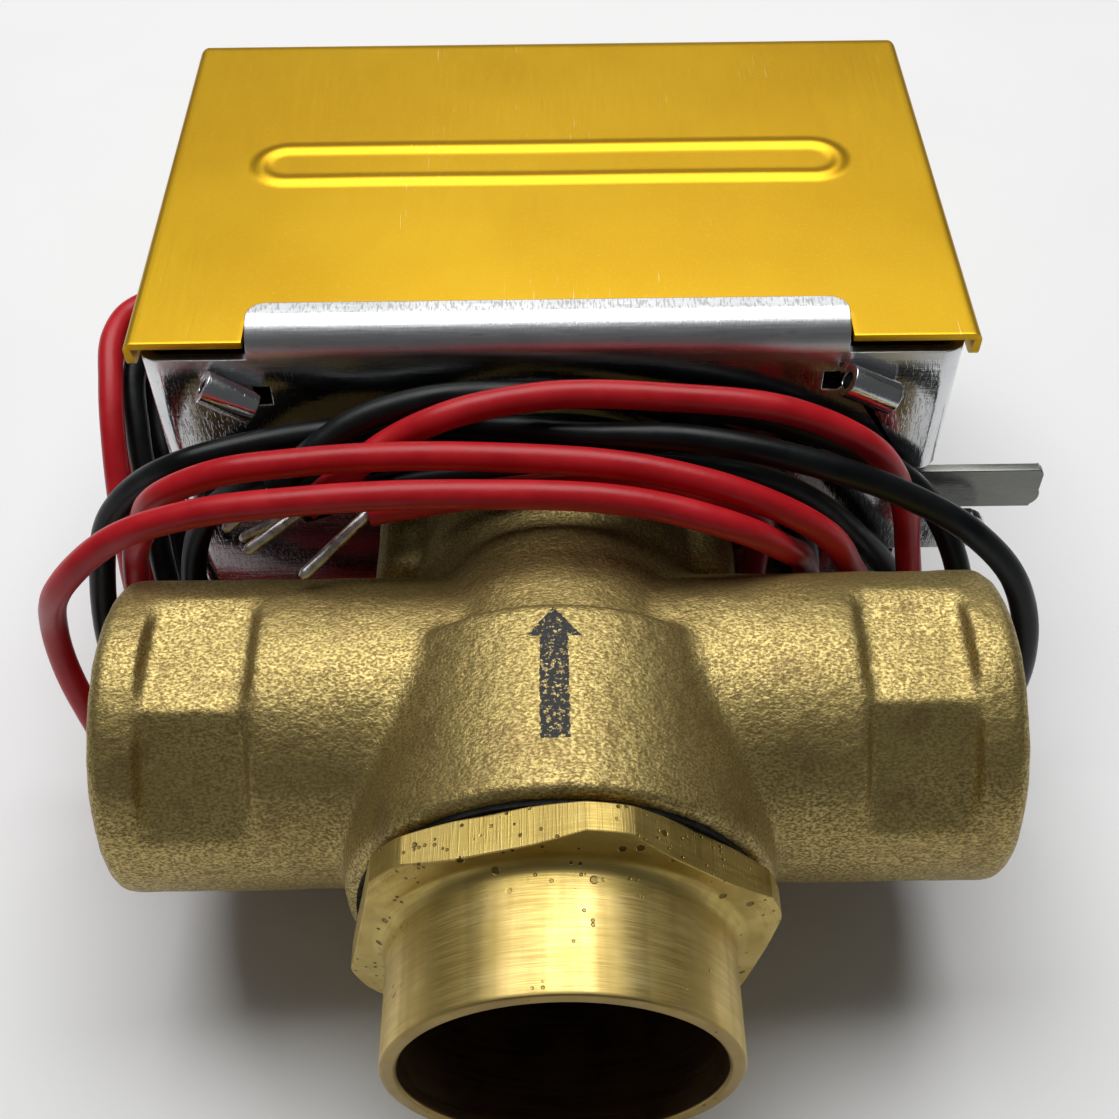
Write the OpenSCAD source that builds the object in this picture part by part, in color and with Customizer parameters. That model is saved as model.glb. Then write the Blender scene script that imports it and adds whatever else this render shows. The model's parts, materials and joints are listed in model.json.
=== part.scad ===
// Three-way motorised zone valve: cast brass tee, swinging ball plug and spring-return motor head.
// It lies on its back. +X runs along the through ports, -Y out of the bottom port, +Z out of the
// head's front face. The origin is the centre of the bottom port's mouth. All sizes are millimetres.

/* [Valve body] */
// Distance from the bottom port's mouth to the centre line of the through ports
port_reach = 36; // [34:0.5:42]
// Length of the body over both through ports
body_length = 87.3; // [84:0.1:92]
// Outside radius of the through-port arms
arm_r = 15.66; // [15.2:0.02:17]
// Wall radius of the female threads in the through ports
thread_r = 12.1; // [11.8:0.05:12.6]
// Depth of the female threads
thread_depth = 17; // [14:0.5:20]
// Radius of the round hub that holds the bottom port
hub_r = 20.2; // [19.6:0.1:21]
// Radius of the neck under the head
neck_r = 15.5; // [15.2:0.1:16]

/* [Sweat adapter] */
// Inside radius of the solder cup for a 1 inch copper tube
cup_r = 14.35; // [14.2:0.01:14.5]
// Outside radius of the solder cup
cup_outer_r = 15.9; // [15.5:0.05:16.2]
// Depth of the solder cup
cup_depth = 23; // [18:0.5:24]
// Distance across the flats of the hexagon
hex_flats = 37; // [36:0.1:38]

/* [Ball plug] */
// Radius of the rubber ball
ball_r = 8.5; // [8.2:0.05:8.6]
// How far the ball moves from seat to seat
ball_travel = 6.4; // [6:0.1:6.8]
// Distance of the shaft behind the centre line of the ports
shaft_offset = 14.5; // [14:0.1:15]
// Radius of the valve shaft
shaft_r = 3; // [2.5:0.1:3]

/* [Motor head] */
// Width of the cover
cover_w = 88; // [87:0.1:90]
// Height of the cover above its lower edge
cover_h = 58.4; // [58:0.1:62]
// Distance of the cover's front face in front of the ports' centre line
front_z = 26.2; // [26:0.1:27]
// Distance of the cover's back face behind the ports' centre line
back_z = 27.8; // [27.6:0.1:30]
// Distance of the base plate above the ports' centre line
plate_y = 29.5; // [29.5:0.1:31]
// Thickness of the cover's sheet
cover_t = 0.8; // [0.6:0.1:0.9]
// Thickness of the base plate's sheet
plate_t = 1.2; // [1:0.1:1.2]
// Width of the lip that hooks over the cover
lip_w = 62; // [58:1:62]
// How far the manual lever stands out from the head's centre
lever_reach = 57.6; // [52:0.1:58]

/* [Gearing] */
// Gear module of the sector gear and its pinion
sector_module = 1; // [1:0.1:1]
// Teeth on the whole circle of the sector gear
sector_teeth = 56; // [56:1:56]
// Teeth on the drive pinion
pinion_teeth = 12; // [12:1:12]

/* [Leads] */
// Outside diameter of a lead
lead_d = 2.9; // [2.6:0.1:2.9]
// Diameter of the bare tinned strands
strand_d = 1.25; // [1:0.05:1.4]

/* [Hidden] */
$fn = 96;

// Directions in this part are angles in the X-Z plane, from +X towards +Z.
// Through-port arms
arm_chamfer = 1;
flats_from = 28.7;
flats_to = 39;
flats_apothem = 14.1;
// Directions of the first flat of each pair, from +Y towards +Z, and the turn to its neighbour
flat_pairs = [94, 274];
flat_step = 45;
// Turns that keep each revolved surface's seam off the curves where arms and hub meet
arm_seam = 11;
hub_seam = 37;
// Hub and neck, measured along Y from the ports' centre line
hub_end = -20;
hub_ledge = 0.6;
dome_r = 18.2;
dome_top = 17;
neck_from = 16;
body_top = 26.5;
bonnet_y = 27;
chamber_r = 13;
chamber_top = 12;
seat_face = sqrt(pow(ball_r + 0.047, 2) - 6.5 * 6.5) + ball_travel / 2;
seat_t = 3;
seat_r = 9.6;
seat_hole_r = 6.5;
boss_r = 8.5;
pocket_r = 6;
socket_r = 16.4;
socket_top = -9.5;
ear_r = 4;
ears = [[15.5, 3], [-15.5, 3], [11, -17], [-11, -17]];
// Adapter
gasket_t = 0.5;
hex_top = hub_end - gasket_t;
hex_t = 3.8;
hex_corner_r = 20.3;
hex_turn = 18.5;
adapter_top = -9.8;
// Shaft and crank
swing_r = norm([ball_travel / 2, shaft_offset]);
half_stroke = atan(ball_travel / 2 / shaft_offset);
crank_y = 9;
crank_t = 2.2;
stud_r = 1.6;
clearance = 0.03;
bushing_r = 4.4;
shaft_top = 39.6;
// Head
chassis_w = 85.6;
chassis_top = 86.5;
chassis_front = 24.2;
chassis_back = 26.4;
bend_r = 2.5;
lip_x = -0.5;
lip_gap = 0.2;
lip_end = 34.6;
notch_w = lip_w + 0.6;
notch_y = 33.2;
rim_depth = 4;
cover_low = plate_y + 0.4;
cover_top = cover_low + cover_h;
cover_screw_x = 34.5;
// Plain raised bead on the cover's front
bead_y = 61;
bead_w = 68;
bead_h = 7.4;
bead_line = 1.2;
bead_proud = 0.35;
lever_y = 32.5;
lever_t = 1.2;
lever_w = 6;
lever_z = 0.4;
latch_reach = 50.3;
// Lanced tabs: place in X and Z, and turn; each with the slot it was lanced from
tabs = [[-33.8, 20.6, 35], [32.9, 20.7, 27]];
tab_slots = [[-30.5, 19.2], [29.1, 20.4]];
tab_slot = [1.7, 2.5];
// Holes of the head's screws: clearance and tapped
ear_hole_r = 1.8;
ear_tap_r = 1.45;
// Sector gear and drive
sector_y = 34.5;
sector_t = 2.5;
sector_from = 130;
sector_to = 170;
drive_dir = 140;
sector_pitch_r = sector_module * sector_teeth / 2;
drive_distance = sector_module * (sector_teeth + pinion_teeth) / 2;
drive_x = drive_distance * cos(drive_dir);
drive_z = drive_distance * sin(drive_dir) - shaft_offset;
// Motor
motor_x = -19;
motor_z = 1;
motor_r = 20.5;
motor_y = 41;
motor_len = 25.5;
motor_wall = 0.8;
post_dist = 25.5;
post_r = 2.8;
posts = [for (a = [45, 225]) [motor_x + post_dist * cos(a), motor_z + post_dist * sin(a)]];
small_module = 0.35;
wheel_teeth = 40;
small_teeth = 12;
small_distance = small_module * (wheel_teeth + small_teeth) / 2;
level_1 = 42;
level_2 = 44.2;
wheel_t = 1.5;
to_motor = [motor_x - drive_x, motor_z - drive_z];
motor_gap = norm(to_motor);
to_motor_dir = atan2(to_motor[1], to_motor[0]);
idler_turn = acos(motor_gap / 2 / small_distance);
idler_dir = to_motor_dir - idler_turn;
idler_x = drive_x + small_distance * cos(idler_dir);
idler_z = drive_z + small_distance * sin(idler_dir);
idler_to_motor_dir = atan2(motor_z - idler_z, motor_x - idler_x);
// End switch
switch_x = 7;
switch_z = 6.5;
switch_y = 36;
switch_size = [19.8, 6.4, 10.2];
switch_hinge_x = 25;
cam_from = 66;
cam_start = 80;
cam_to = 126;
cam_r = 14.3;
cam_rise = 1.5;
stroke = 24.8;
follower_r = 1.2;
button_x = 17;
leaf_top = 39.2;
// Return spring
spring_x = 32;
spring_from = -3.2;
spring_to = 21.5;
spring_y = 36.6;
spring_r = 2.6;
// Grommet where the leads leave the head
grommet_y = 56.75;
grommet_z = 7.75;
grommet_r = 4.3;
// Leads: route points from the head to the cut end, measured from the crossing of the ports
ring_step = 6.5;
red_1_route = [
    [-41.5, 58.5, 9.5], [-44.4, 58.5, 9.5], [-48.4, 57.4, 9.6], [-51.2, 54.6, 9.8], [-52.2, 50.6, 9.8],
    [-51.8, 44, 8], [-51, 37, 4], [-50, 30, -3], [-49, 25.5, -12], [-44.6, 20.8, -20.5],
    [-36, 17.8, -25.4], [-24, 17.4, -25.9], [0, 17.4, -26], [16, 17.4, -25.7], [24, 18, -22.5],
    [28.5, 19.5, -14], [28.5, 20.5, -4], [26.5, 18, 5], [23.5, 13, 12.5], [18, 10.7, 18.3],
    [9, 11, 21.6], [-8, 11.3, 23], [-25, 11.6, 22], [-36, 12, 19.8], [-43.5, 12.2, 16.5],
    [-50, 11.8, 10.5], [-54.2, 13.9, 0], [-53.6, 12.4, -11], [-48.5, 8.5, -21.3], [-38, 5.3, -25.6],
    [-24, 4.4, -26], [-4, 4.4, -26], [5, 4.4, -25.6], [13, 5.5, -22.8], [19.5, 12, -20],
    [22.8, 19, -16], [22.8, 24.6, -5], [22.5, 22.8, 4], [21, 19, 11], [16, 17.2, 15.8],
    [8, 16, 19], [-8, 14.6, 19.4], [-18.3, 13.4, 18.5]
];
red_2_route = [
    [-41.5, 58.5, 6], [-44, 58.5, 6], [-47.7, 57.5, 5.8], [-50.5, 54.7, 5.2], [-51.7, 50.8, 4],
    [-50.8, 44, 0.8], [-49.8, 37, -4.5], [-49.2, 31, -13], [-46.8, 27, -19.7], [-42, 25, -24.2],
    [-34, 24.1, -25.8], [-16, 24.1, -26], [6, 24.1, -26], [18, 24.1, -25.7], [27, 22.8, -23.5],
    [34, 20.5, -18], [36.5, 18.6, -10], [34.5, 18.2, -2], [31.5, 17, 5], [28, 14.7, 12.5],
    [19, 14, 19.5], [9, 14.9, 22.4], [-5, 15.8, 23.4], [-25, 16.8, 22.1], [-34, 16.8, 20.5],
    [-40.5, 17.3, 16.5], [-43.8, 19.8, 9], [-46.4, 22, 2], [-47, 20.8, -5], [-45, 17.3, -14],
    [-39.5, 14, -22], [-30, 11.4, -25.5], [-18, 11, -26], [6, 11, -26], [22, 11, -25.9],
    [33, 11.9, -23.7], [39.8, 17, -16.5], [40.8, 21, -9], [39.6, 23.4, 0], [37.8, 23.7, 8],
    [33.8, 23, 16], [24.5, 23, 22], [12, 23.1, 24.2], [-2, 22.9, 24.7], [-11, 20.8, 24.1],
    [-17, 20.1, 21], [-21, 17.8, 19.1], [-25, 15, 17.4]
];
black_1_route = [
    [-41.5, 55, 9.5], [-43, 55, 9.4], [-46.5, 54.1, 9.1], [-49, 51.6, 8.3], [-49.9, 48.1, 6.9],
    [-49.2, 41, 3], [-47.6, 34, -3], [-46, 28, -12], [-42.2, 23.3, -20.6], [-35.5, 21, -25.4],
    [-24, 20.7, -26], [0, 20.7, -26], [22, 20.6, -26], [34, 18.6, -26], [44, 15.7, -25.6],
    [50, 13.5, -20], [52, 13.2, -10.5], [51.4, 14.8, -2], [49, 16.2, 4], [44, 17.5, 9.5],
    [36, 18.6, 14.5], [26, 18.9, 19], [14, 19.8, 21.6], [2, 21.6, 20.7], [-10, 25, 19.2],
    [-20, 25.7, 18], [-31, 23.5, 18], [-38, 21.7, 17.3], [-43.5, 22.3, 13.5], [-48, 22.3, 8],
    [-50.2, 20.3, 0], [-50, 16.1, -10.5], [-45, 11.5, -21], [-35, 8.3, -25.5], [-22, 7.7, -26],
    [0, 7.7, -26], [22, 7.7, -26], [34, 8.8, -24.8], [43, 13, -19], [46.5, 18, -11],
    [45.6, 22.8, -2.5], [41.5, 26.5, 5], [34, 27.4, 11.5], [25, 27.2, 16.4], [12, 26.8, 20.2],
    [-2, 26.1, 22.1], [-14, 24.2, 23], [-20, 22.6, 21.9], [-25, 20.4, 19.3], [-28.6, 18.6, 16.4]
];
black_2_route = [
    [-41.5, 55, 6], [-42.3, 55, 6], [-45.5, 54.1, 5.6], [-47.8, 51.8, 4.2], [-48.5, 48.5, 1.9],
    [-46.8, 40, -3.5], [-45.6, 34, -11.5], [-45.2, 31.2, -17.2], [-43.9, 29, -21], [-41, 27.8, -23.7],
    [-36.5, 27.6, -25.5],
    [-26, 27.4, -26], [-6, 27.4, -26], [12, 27.4, -25.9], [21.5, 27.2, -23.6], [27.5, 27, -17],
    [29.5, 26.8, -9], [28.5, 26.8, -2], [25, 27, 4], [18, 27, 10.5], [9, 26.6, 15.2],
    [-1, 26.2, 17.4], [-11, 25.4, 15.4], [-21, 22.8, 15.2], [-30, 23.2, 12.8], [-36.5, 25.2, 7.5],
    [-40.3, 26, 1], [-41.5, 23.5, -7], [-37.5, 19.2, -16], [-31, 15.2, -23.3], [-22, 14.2, -25.8],
    [-4, 14.2, -26], [14, 14.2, -26], [26, 14.8, -25.7], [36, 17, -22.4], [41, 21.8, -17],
    [39.5, 26.2, -8], [34, 26.2, 0], [28, 25, 7], [20, 22.8, 13.4], [10, 20.2, 17.6],
    [-2, 18.6, 18.8], [-12, 18.8, 17.6], [-20, 19, 15.4], [-26, 19.6, 12.4]
];
// Tips of the bare strands
red_1_tip = [-25, 8, 15];
red_2_tip = [-31, 11.5, 14.8];
black_1_tip = [-33.8, 15.6, 13.6];
black_2_tip = [-33.5, 19.4, 8];

// ---------- helpers ----------
module at_crossing() translate([0, port_reach, 0]) children();
// A cylinder along Y, and one along X
module rod_y(r, y0, y1, x = 0, z = 0)
    translate([x, y0, z]) rotate([-90, 0, 0]) cylinder(r = r, h = y1 - y0);
module rod_x(r, x0, x1, y = 0, z = 0)
    translate([x0, y, z]) rotate([0, 90, 0]) cylinder(r = r, h = x1 - x0);
module ring_y(outer_r, inner_r, y0, y1, x = 0, z = 0) difference() {
    rod_y(outer_r, y0, y1, x, z);
    rod_y(inner_r, y0 - 1, y1 + 1, x, z);
}
module box(low, high) translate(low) cube(high - low);
// A flat outline in X and Z, given thickness along Y
module sheet_y(y0, y1) translate([0, y1, 0]) rotate([90, 0, 0]) linear_extrude(y1 - y0) children();
// A flat outline in Y and Z, given length along X
module sheet_x(x0, x1) translate([x0, 0, 0]) rotate([90, 0, 90]) linear_extrude(x1 - x0) children();
// A profile of radius and Y, turned about the Y axis
module turned_y() rotate([-90, 0, 0]) rotate_extrude() children();
// Quarter turns of a circle as points
function arc(cx, cy, r, from, to, steps = 8) =
    [for (i = [0 : steps]) let (a = from + (to - from) * i / steps) [cx + r * cos(a), cy + r * sin(a)]];
// Outline of a gear with straight-sided teeth, one of them centred on direction dir
function tooth(r, m, a) = let (
        half_root = (PI / 4 * m + 0.36 * 1.2 * m - 0.13 * m) / (r - 1.2 * m),
        half_tip = (PI / 4 * m - 0.36 * 0.85 * m - 0.13 * m) / (r + 0.85 * m),
        to_deg = 180 / PI)
    [for (p = [[r - 1.2 * m, -half_root], [r + 0.85 * m, -half_tip],
               [r + 0.85 * m, half_tip], [r - 1.2 * m, half_root]])
        [p[0] * cos(a + p[1] * to_deg), p[0] * sin(a + p[1] * to_deg)]];
module gear_2d(teeth, m, dir)
    polygon([for (i = [0 : teeth - 1]) each tooth(teeth * m / 2, m, dir + i * 360 / teeth)]);
module round_box_2d(w, h, r) {
    square([w - 2 * r, h], center = true);
    square([w, h - 2 * r], center = true);
    for (x = [-1, 1], y = [-1, 1]) translate([x * (w / 2 - r), y * (h / 2 - r)]) circle(r);
}

// ---------- valve body ----------
module arm_profile() polygon([
    [0, 0], [arm_r - arm_chamfer, 0], [arm_r, arm_chamfer],
    [arm_r, body_length - arm_chamfer], [arm_r - arm_chamfer, body_length], [0, body_length]]);
// Outline in Y and Z of what a pair of neighbouring wrench flats takes away
function off_flat(dir, away, side) =
    [away * cos(dir) - side * sin(dir), away * sin(dir) + side * cos(dir)];
module flat_pair_2d(dir) polygon([for (away = [flats_apothem, arm_r + 1.5]) each let (
    corner = away * tan(flat_step / 2),
    points = [off_flat(dir, away, -8), off_flat(dir, away, corner), off_flat(dir + flat_step, away, 8)])
    away == flats_apothem ? points : [points[2], points[1], points[0]]]);
module arms() difference() {
    rotate([arm_seam, 0, 0]) translate([-body_length / 2, 0, 0]) rotate([0, 90, 0])
        rotate_extrude() arm_profile();
    for (x = [-flats_to, flats_from], dir = flat_pairs)
        sheet_x(x, x + flats_to - flats_from) flat_pair_2d(dir);
}
module hub_profile() polygon([
    [0, hub_end], [hub_r - 0.6, hub_end], [hub_r, hub_end + 0.6], [hub_r, hub_ledge - 0.6],
    [hub_r - 0.6, hub_ledge], [dome_r, hub_ledge], [neck_r - 0.5, dome_top], [0, dome_top]]);
// Outlines of the shaft's boss, and of the head's seat on the neck with its four screw ears
module boss_outline_2d() {
    translate([0, -shaft_offset]) circle(boss_r);
    translate([-boss_r, -shaft_offset]) square([2 * boss_r, shaft_offset]);
}
module head_seat_2d() {
    circle(neck_r);
    for (e = ears) translate(e) circle(ear_r);
}
module neck_outline_2d() {
    head_seat_2d();
    boss_outline_2d();
}
// Room for the crank beside the shaft
module pocket_2d() {
    translate([0, -shaft_offset]) circle(pocket_r);
    translate([-pocket_r, -shaft_offset]) square([2 * pocket_r, shaft_offset]);
}
module valve_body() color([0.66, 0.53, 0.27]) at_crossing() difference() {
    union() {
        arms();
        rotate([0, hub_seam, 0]) turned_y() hub_profile();
        sheet_y(2, body_top) boss_outline_2d();
        sheet_y(neck_from, body_top) head_seat_2d();
    }
    for (s = [-1, 1]) {
        rod_x(seat_r, s > 0 ? seat_face : -body_length / 2, s > 0 ? body_length / 2 : -seat_face);
        rod_x(thread_r, s > 0 ? body_length / 2 - thread_depth : -body_length / 2 - 1,
              s > 0 ? body_length / 2 + 1 : -body_length / 2 + thread_depth);
    }
    intersection() {
        rod_y(chamber_r, socket_top - 1, chamber_top);
        box([-seat_face, -11, -chamber_r - 1], [seat_face, chamber_top + 1, chamber_r + 1]);
    }
    rod_y(socket_r, hub_end - 1, socket_top);
    sheet_y(crank_y - 1.5, chamber_top) pocket_2d();
    sheet_y(chamber_top, body_top + 1) {
        circle(chamber_r);
        pocket_2d();
    }
    for (e = ears) rod_y(ear_tap_r, body_top - 8, body_top + 1, e[0], e[1]);
}
module seat_ring(x0) difference() {
    rod_x(seat_r, x0, x0 + seat_t);
    rod_x(seat_hole_r, x0 - 1, x0 + seat_t + 1);
}
module seat_a() color([0.8, 0.66, 0.35]) at_crossing() seat_ring(-seat_face - seat_t);
module seat_b() color([0.8, 0.66, 0.35]) at_crossing() seat_ring(seat_face);

// ---------- sweat adapter ----------
module adapter_profile() polygon(concat(
    [[0, -port_reach], [cup_outer_r - 0.3, -port_reach], [cup_outer_r, -port_reach + 0.3]],
    arc(cup_outer_r + 1.4, hex_top - hex_t - 1.4, 1.4, 180, 90, 6),
    [[hex_corner_r, hex_top - hex_t], [hex_corner_r, hex_top], [socket_r - 0.05, hex_top],
     [socket_r - 0.05, adapter_top - 0.6], [socket_r - 0.65, adapter_top], [0, adapter_top]]));
module sweat_adapter() color([0.83, 0.68, 0.36]) at_crossing() difference() {
    turned_y() adapter_profile();
    difference() {
        rod_y(hex_corner_r + 1, hex_top - hex_t, hex_top);
        translate([0, hex_top - hex_t - 1, 0]) rotate([-90, 0, 0]) rotate([0, 0, -hex_turn])
            cylinder(r = hex_flats / 2 / cos(30), h = hex_t + 2, $fn = 6);
    }
    rod_y(cup_r, -port_reach - 1, -port_reach + cup_depth);
    rod_y(12.5, -port_reach + cup_depth - 1, adapter_top + 1);
}
module adapter_gasket() color([0.15, 0.14, 0.13]) at_crossing()
    ring_y(18.9, socket_r + 0.1, hex_top, hub_end);

// ---------- bonnet, shaft and ball ----------
module bonnet() color([0.75, 0.62, 0.33]) at_crossing() difference() {
    union() {
        sheet_y(bonnet_y, plate_y) neck_outline_2d();
        rod_y(5.6, 14, bonnet_y + 0.1, 0, -shaft_offset);
    }
    rod_y(bushing_r, 13, plate_y + 1, 0, -shaft_offset);
    for (e = ears) rod_y(ear_hole_r, bonnet_y - 1, plate_y + 1, e[0], e[1]);
}
module bonnet_gasket() color([0.12, 0.12, 0.12]) at_crossing() difference() {
    sheet_y(body_top, bonnet_y) neck_outline_2d();
    rod_y(chamber_r + 0.4, body_top - 1, bonnet_y + 1);
    rod_y(pocket_r + 0.2, body_top - 1, bonnet_y + 1, 0, -shaft_offset);
    box([-pocket_r, body_top - 1, -shaft_offset], [pocket_r, bonnet_y + 1, 0]);
    for (e = ears) rod_y(ear_hole_r, body_top - 1, bonnet_y + 1, e[0], e[1]);
}
module shaft_bushing() color([0.85, 0.82, 0.74]) at_crossing()
    ring_y(bushing_r, shaft_r + clearance, 14.5, 21, 0, -shaft_offset);
module shaft_o_rings() color([0.1, 0.1, 0.1]) at_crossing()
    for (y = [22.6, 25.4]) translate([0, y, -shaft_offset]) turned_y()
        translate([(shaft_r + 0.06 + bushing_r) / 2, 0]) circle((bushing_r - shaft_r - 0.06) / 2);
module valve_shaft() color([0.72, 0.73, 0.74]) at_crossing() difference() {
    rod_y(shaft_r, crank_y, shaft_top, 0, -shaft_offset);
    ring_y(shaft_r + 1, shaft_r - 0.5, shaft_top - 1.6, shaft_top - 0.8, 0, -shaft_offset);
}
// Everything that turns with the shaft is drawn about the shaft's axis
module on_shaft() translate([0, 0, -shaft_offset]) children();
module crank_arm() color([0.72, 0.72, 0.7]) at_crossing() on_shaft() difference() {
    sheet_y(crank_y, crank_y + crank_t) {
        circle(5);
        rotate(90 + half_stroke) translate([0, -2.6]) square([swing_r, 5.2]);
        rotate(90 + half_stroke) translate([swing_r, 0]) circle(3.4);
    }
    rod_y(shaft_r, crank_y - 1, crank_y + crank_t + 1);
    rod_y(stud_r, crank_y - 1, crank_y + crank_t + 1, -ball_travel / 2, shaft_offset);
}
module ball_stud() color([0.78, 0.64, 0.34]) at_crossing() {
    rod_y(stud_r, 1.5, crank_y + crank_t, -ball_travel / 2, 0);
    rod_y(2.5, crank_y + crank_t, crank_y + crank_t + 0.9, -ball_travel / 2, 0);
}
module ball_plug() color([0.13, 0.13, 0.13]) at_crossing() translate([-ball_travel / 2, 0, 0])
    difference() {
        sphere(ball_r);
        rod_y(stud_r, 1.5, ball_r + 1);
    }
module shaft_clip() color([0.5, 0.5, 0.52]) at_crossing() on_shaft() difference() {
    rod_y(5, shaft_top - 1.5, shaft_top - 0.9);
    rod_y(shaft_r - 0.5, shaft_top - 2, shaft_top);
    box([0, shaft_top - 2, -1.8], [6, shaft_top, 1.8]);
}

// ---------- chassis ----------
// Cross-section of the base plate and its two side walls, in X and Y
module chassis_channel_2d() difference() {
    translate([0, (plate_y + chassis_top) / 2]) {
        square([chassis_w, chassis_top - plate_y - 2 * bend_r], center = true);
        square([chassis_w - 2 * bend_r, chassis_top - plate_y], center = true);
        for (x = [-1, 1]) {
            translate([x * (chassis_w / 2 - bend_r), -(chassis_top - plate_y) / 2 + bend_r]) circle(bend_r);
            translate([x * (chassis_w / 2 - bend_r) - bend_r, 0]) square([2 * bend_r, (chassis_top - plate_y) / 2]);
        }
    }
    translate([0, (plate_y + chassis_top) / 2 + plate_t]) {
        square([chassis_w - 2 * plate_t, chassis_top - plate_y - 2 * bend_r], center = true);
        square([chassis_w - 2 * bend_r, chassis_top - plate_y], center = true);
        for (x = [-1, 1]) {
            translate([x * (chassis_w / 2 - bend_r), -(chassis_top - plate_y) / 2 + bend_r - plate_t])
                circle(bend_r - plate_t);
            translate([x * (chassis_w / 2 - bend_r) - bend_r + plate_t, 0])
                square([2 * (bend_r - plate_t), (chassis_top - plate_y) / 2]);
        }
    }
}
lip_top = front_z + lip_gap + plate_t;
roll_r = lip_top - chassis_front;
// The lip rolls from the base plate's front edge over the cover
module lip() difference() {
    sheet_x(lip_x - lip_w / 2, lip_x + lip_w / 2) polygon(concat(
        [[plate_y, chassis_front - 1]],
        arc(plate_y + roll_r, chassis_front, roll_r, 180, 90),
        [[lip_end, lip_top], [lip_end, lip_top - plate_t]],
        arc(plate_y + roll_r, chassis_front, roll_r - plate_t, 90, 180),
        [[plate_y + plate_t, chassis_front - 1]]));
    for (s = [-1, 1]) translate([lip_x + s * (lip_w / 2 - 2), lip_end - 2, 20]) difference() {
        translate([s > 0 ? 0 : -3, 0, 0]) cube([3, 3, 10]);
        cylinder(r = 2, h = 30, center = true);
    }
}
// Lanced and rolled tabs on the base plate's underside
module rolled_tab(x, z, turn) translate([x, plate_y - 1.7, z]) rotate([0, turn, 0]) difference() {
    translate([-2.9, 0, 0]) rotate([0, 90, 0]) cylinder(r = 1.8, h = 5.8);
    translate([-4, 0, 0]) rotate([0, 90, 0]) cylinder(r = 0.9, h = 8);
}
module chassis() color([0.8, 0.82, 0.84]) at_crossing() {
    difference() {
        union() {
            translate([0, 0, -chassis_back]) linear_extrude(chassis_back + chassis_front)
                chassis_channel_2d();
            lip();
            box([30, chassis_top - plate_t, -8], [chassis_w / 2 - 0.1, chassis_top, 8]);
        }
        // Lever slot, which takes the lower right corner away
        box([39.4, plate_y - 1, -25.5], [chassis_w / 2 + 1, 34.6, 7]);
        rod_y(5, plate_y - 1, plate_y + 2, 0, -shaft_offset);
        for (e = ears) rod_y(ear_hole_r, plate_y - 1, plate_y + 2, e[0], e[1]);
        rod_x(5.2, -chassis_w / 2 - 1, -chassis_w / 2 + 3, grommet_y, grommet_z);
        rod_y(1.6, chassis_top - 2, chassis_top + 1, cover_screw_x, 0);
        // Slots that the rolled tabs were lanced from
        for (t = tab_slots) box([t[0] - tab_slot[0] / 2, plate_y - 1, t[1] - tab_slot[1] / 2],
                                [t[0] + tab_slot[0] / 2, plate_y + 2, t[1] + tab_slot[1] / 2]);
    }
    for (t = tabs) rolled_tab(t[0], t[1], t[2]);
    // Tab that the manual lever latches under
    sheet_y(plate_y, plate_y + plate_t) {
        translate([38.5, -6.4]) square([latch_reach - 38.5 - 2, 5.6]);
        translate([latch_reach - 2.8, -3.6]) circle(2.8);
    }
}
module head_screws() color([0.7, 0.71, 0.72]) at_crossing() for (e = ears) difference() {
    union() {
        rod_y(1.4, body_top - 6, plate_y + plate_t, e[0], e[1]);
        rod_y(3, plate_y + plate_t, plate_y + plate_t + 1.3, e[0], e[1]);
    }
    box([e[0] - 3.5, plate_y + plate_t + 0.6, e[1] - 0.4], [e[0] + 3.5, plate_y + plate_t + 2, e[1] + 0.4]);
}

// ---------- manual lever and sector gear ----------
module manual_lever() color([0.76, 0.77, 0.78]) at_crossing() difference() {
    sheet_y(lever_y, lever_y + lever_t) {
        translate([0, -shaft_offset]) circle(7);
        polygon([[1, -shaft_offset - 6], [7, -shaft_offset - 4], [37, lever_z - lever_w / 2],
                 [37, lever_z + lever_w / 2], [33, lever_z + lever_w / 2], [2, -shaft_offset + 6]]);
        translate([35, lever_z - lever_w / 2]) square([lever_reach - 36.8, lever_w]);
        translate([lever_reach - 2.2, lever_z + lever_w / 2 - 1]) circle(1);
        translate([lever_reach - 2.8, lever_z - lever_w / 2 + 1.8]) circle(1.8);
        translate([lever_reach - 3, lever_z - lever_w / 2 + 1.8]) square([1.8, lever_w - 2.8]);
    }
    rod_y(shaft_r, lever_y - 1, lever_y + lever_t + 1, 0, -shaft_offset);
    rod_y(1.2, lever_y - 1, lever_y + lever_t + 1, spring_x, spring_from);
}
module lever_pin() color([0.7, 0.7, 0.7]) at_crossing() difference() {
    rod_y(1.2, lever_y, spring_y + 1.8, spring_x, spring_from);
    ring_y(2, 0.8, spring_y - 0.6, spring_y + 0.6, spring_x, spring_from);
}
// The rim ends half-way between two teeth, and the switch cam is a linear spiral beside it
function sector_rim() = [for (k = [-2 : 5])
    each tooth(sector_pitch_r, sector_module, drive_dir + k * 360 / sector_teeth)];
function cam_rim() = [for (i = [0 : 20]) let (
        a = cam_to + (cam_from - cam_to) * i / 20,
        r = cam_r + cam_rise * (a - cam_start) / stroke)
    [r * cos(a), r * sin(a)]];
module sector_gear() color([0.86, 0.84, 0.78]) at_crossing() on_shaft() difference() {
    union() {
        sheet_y(sector_y, sector_y + sector_t) {
            polygon(concat([[0, 0]], sector_rim()));
            polygon(concat([[0, 0]], cam_rim()));
        }
        rod_y(8, lever_y + lever_t, sector_y + sector_t + 0.8);
    }
    rod_y(shaft_r, lever_y, sector_y + sector_t + 2);
    for (a = [142, 157]) rod_y(2.6, sector_y - 1, sector_y + sector_t + 1, 19 * cos(a), 19 * sin(a));
}

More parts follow.
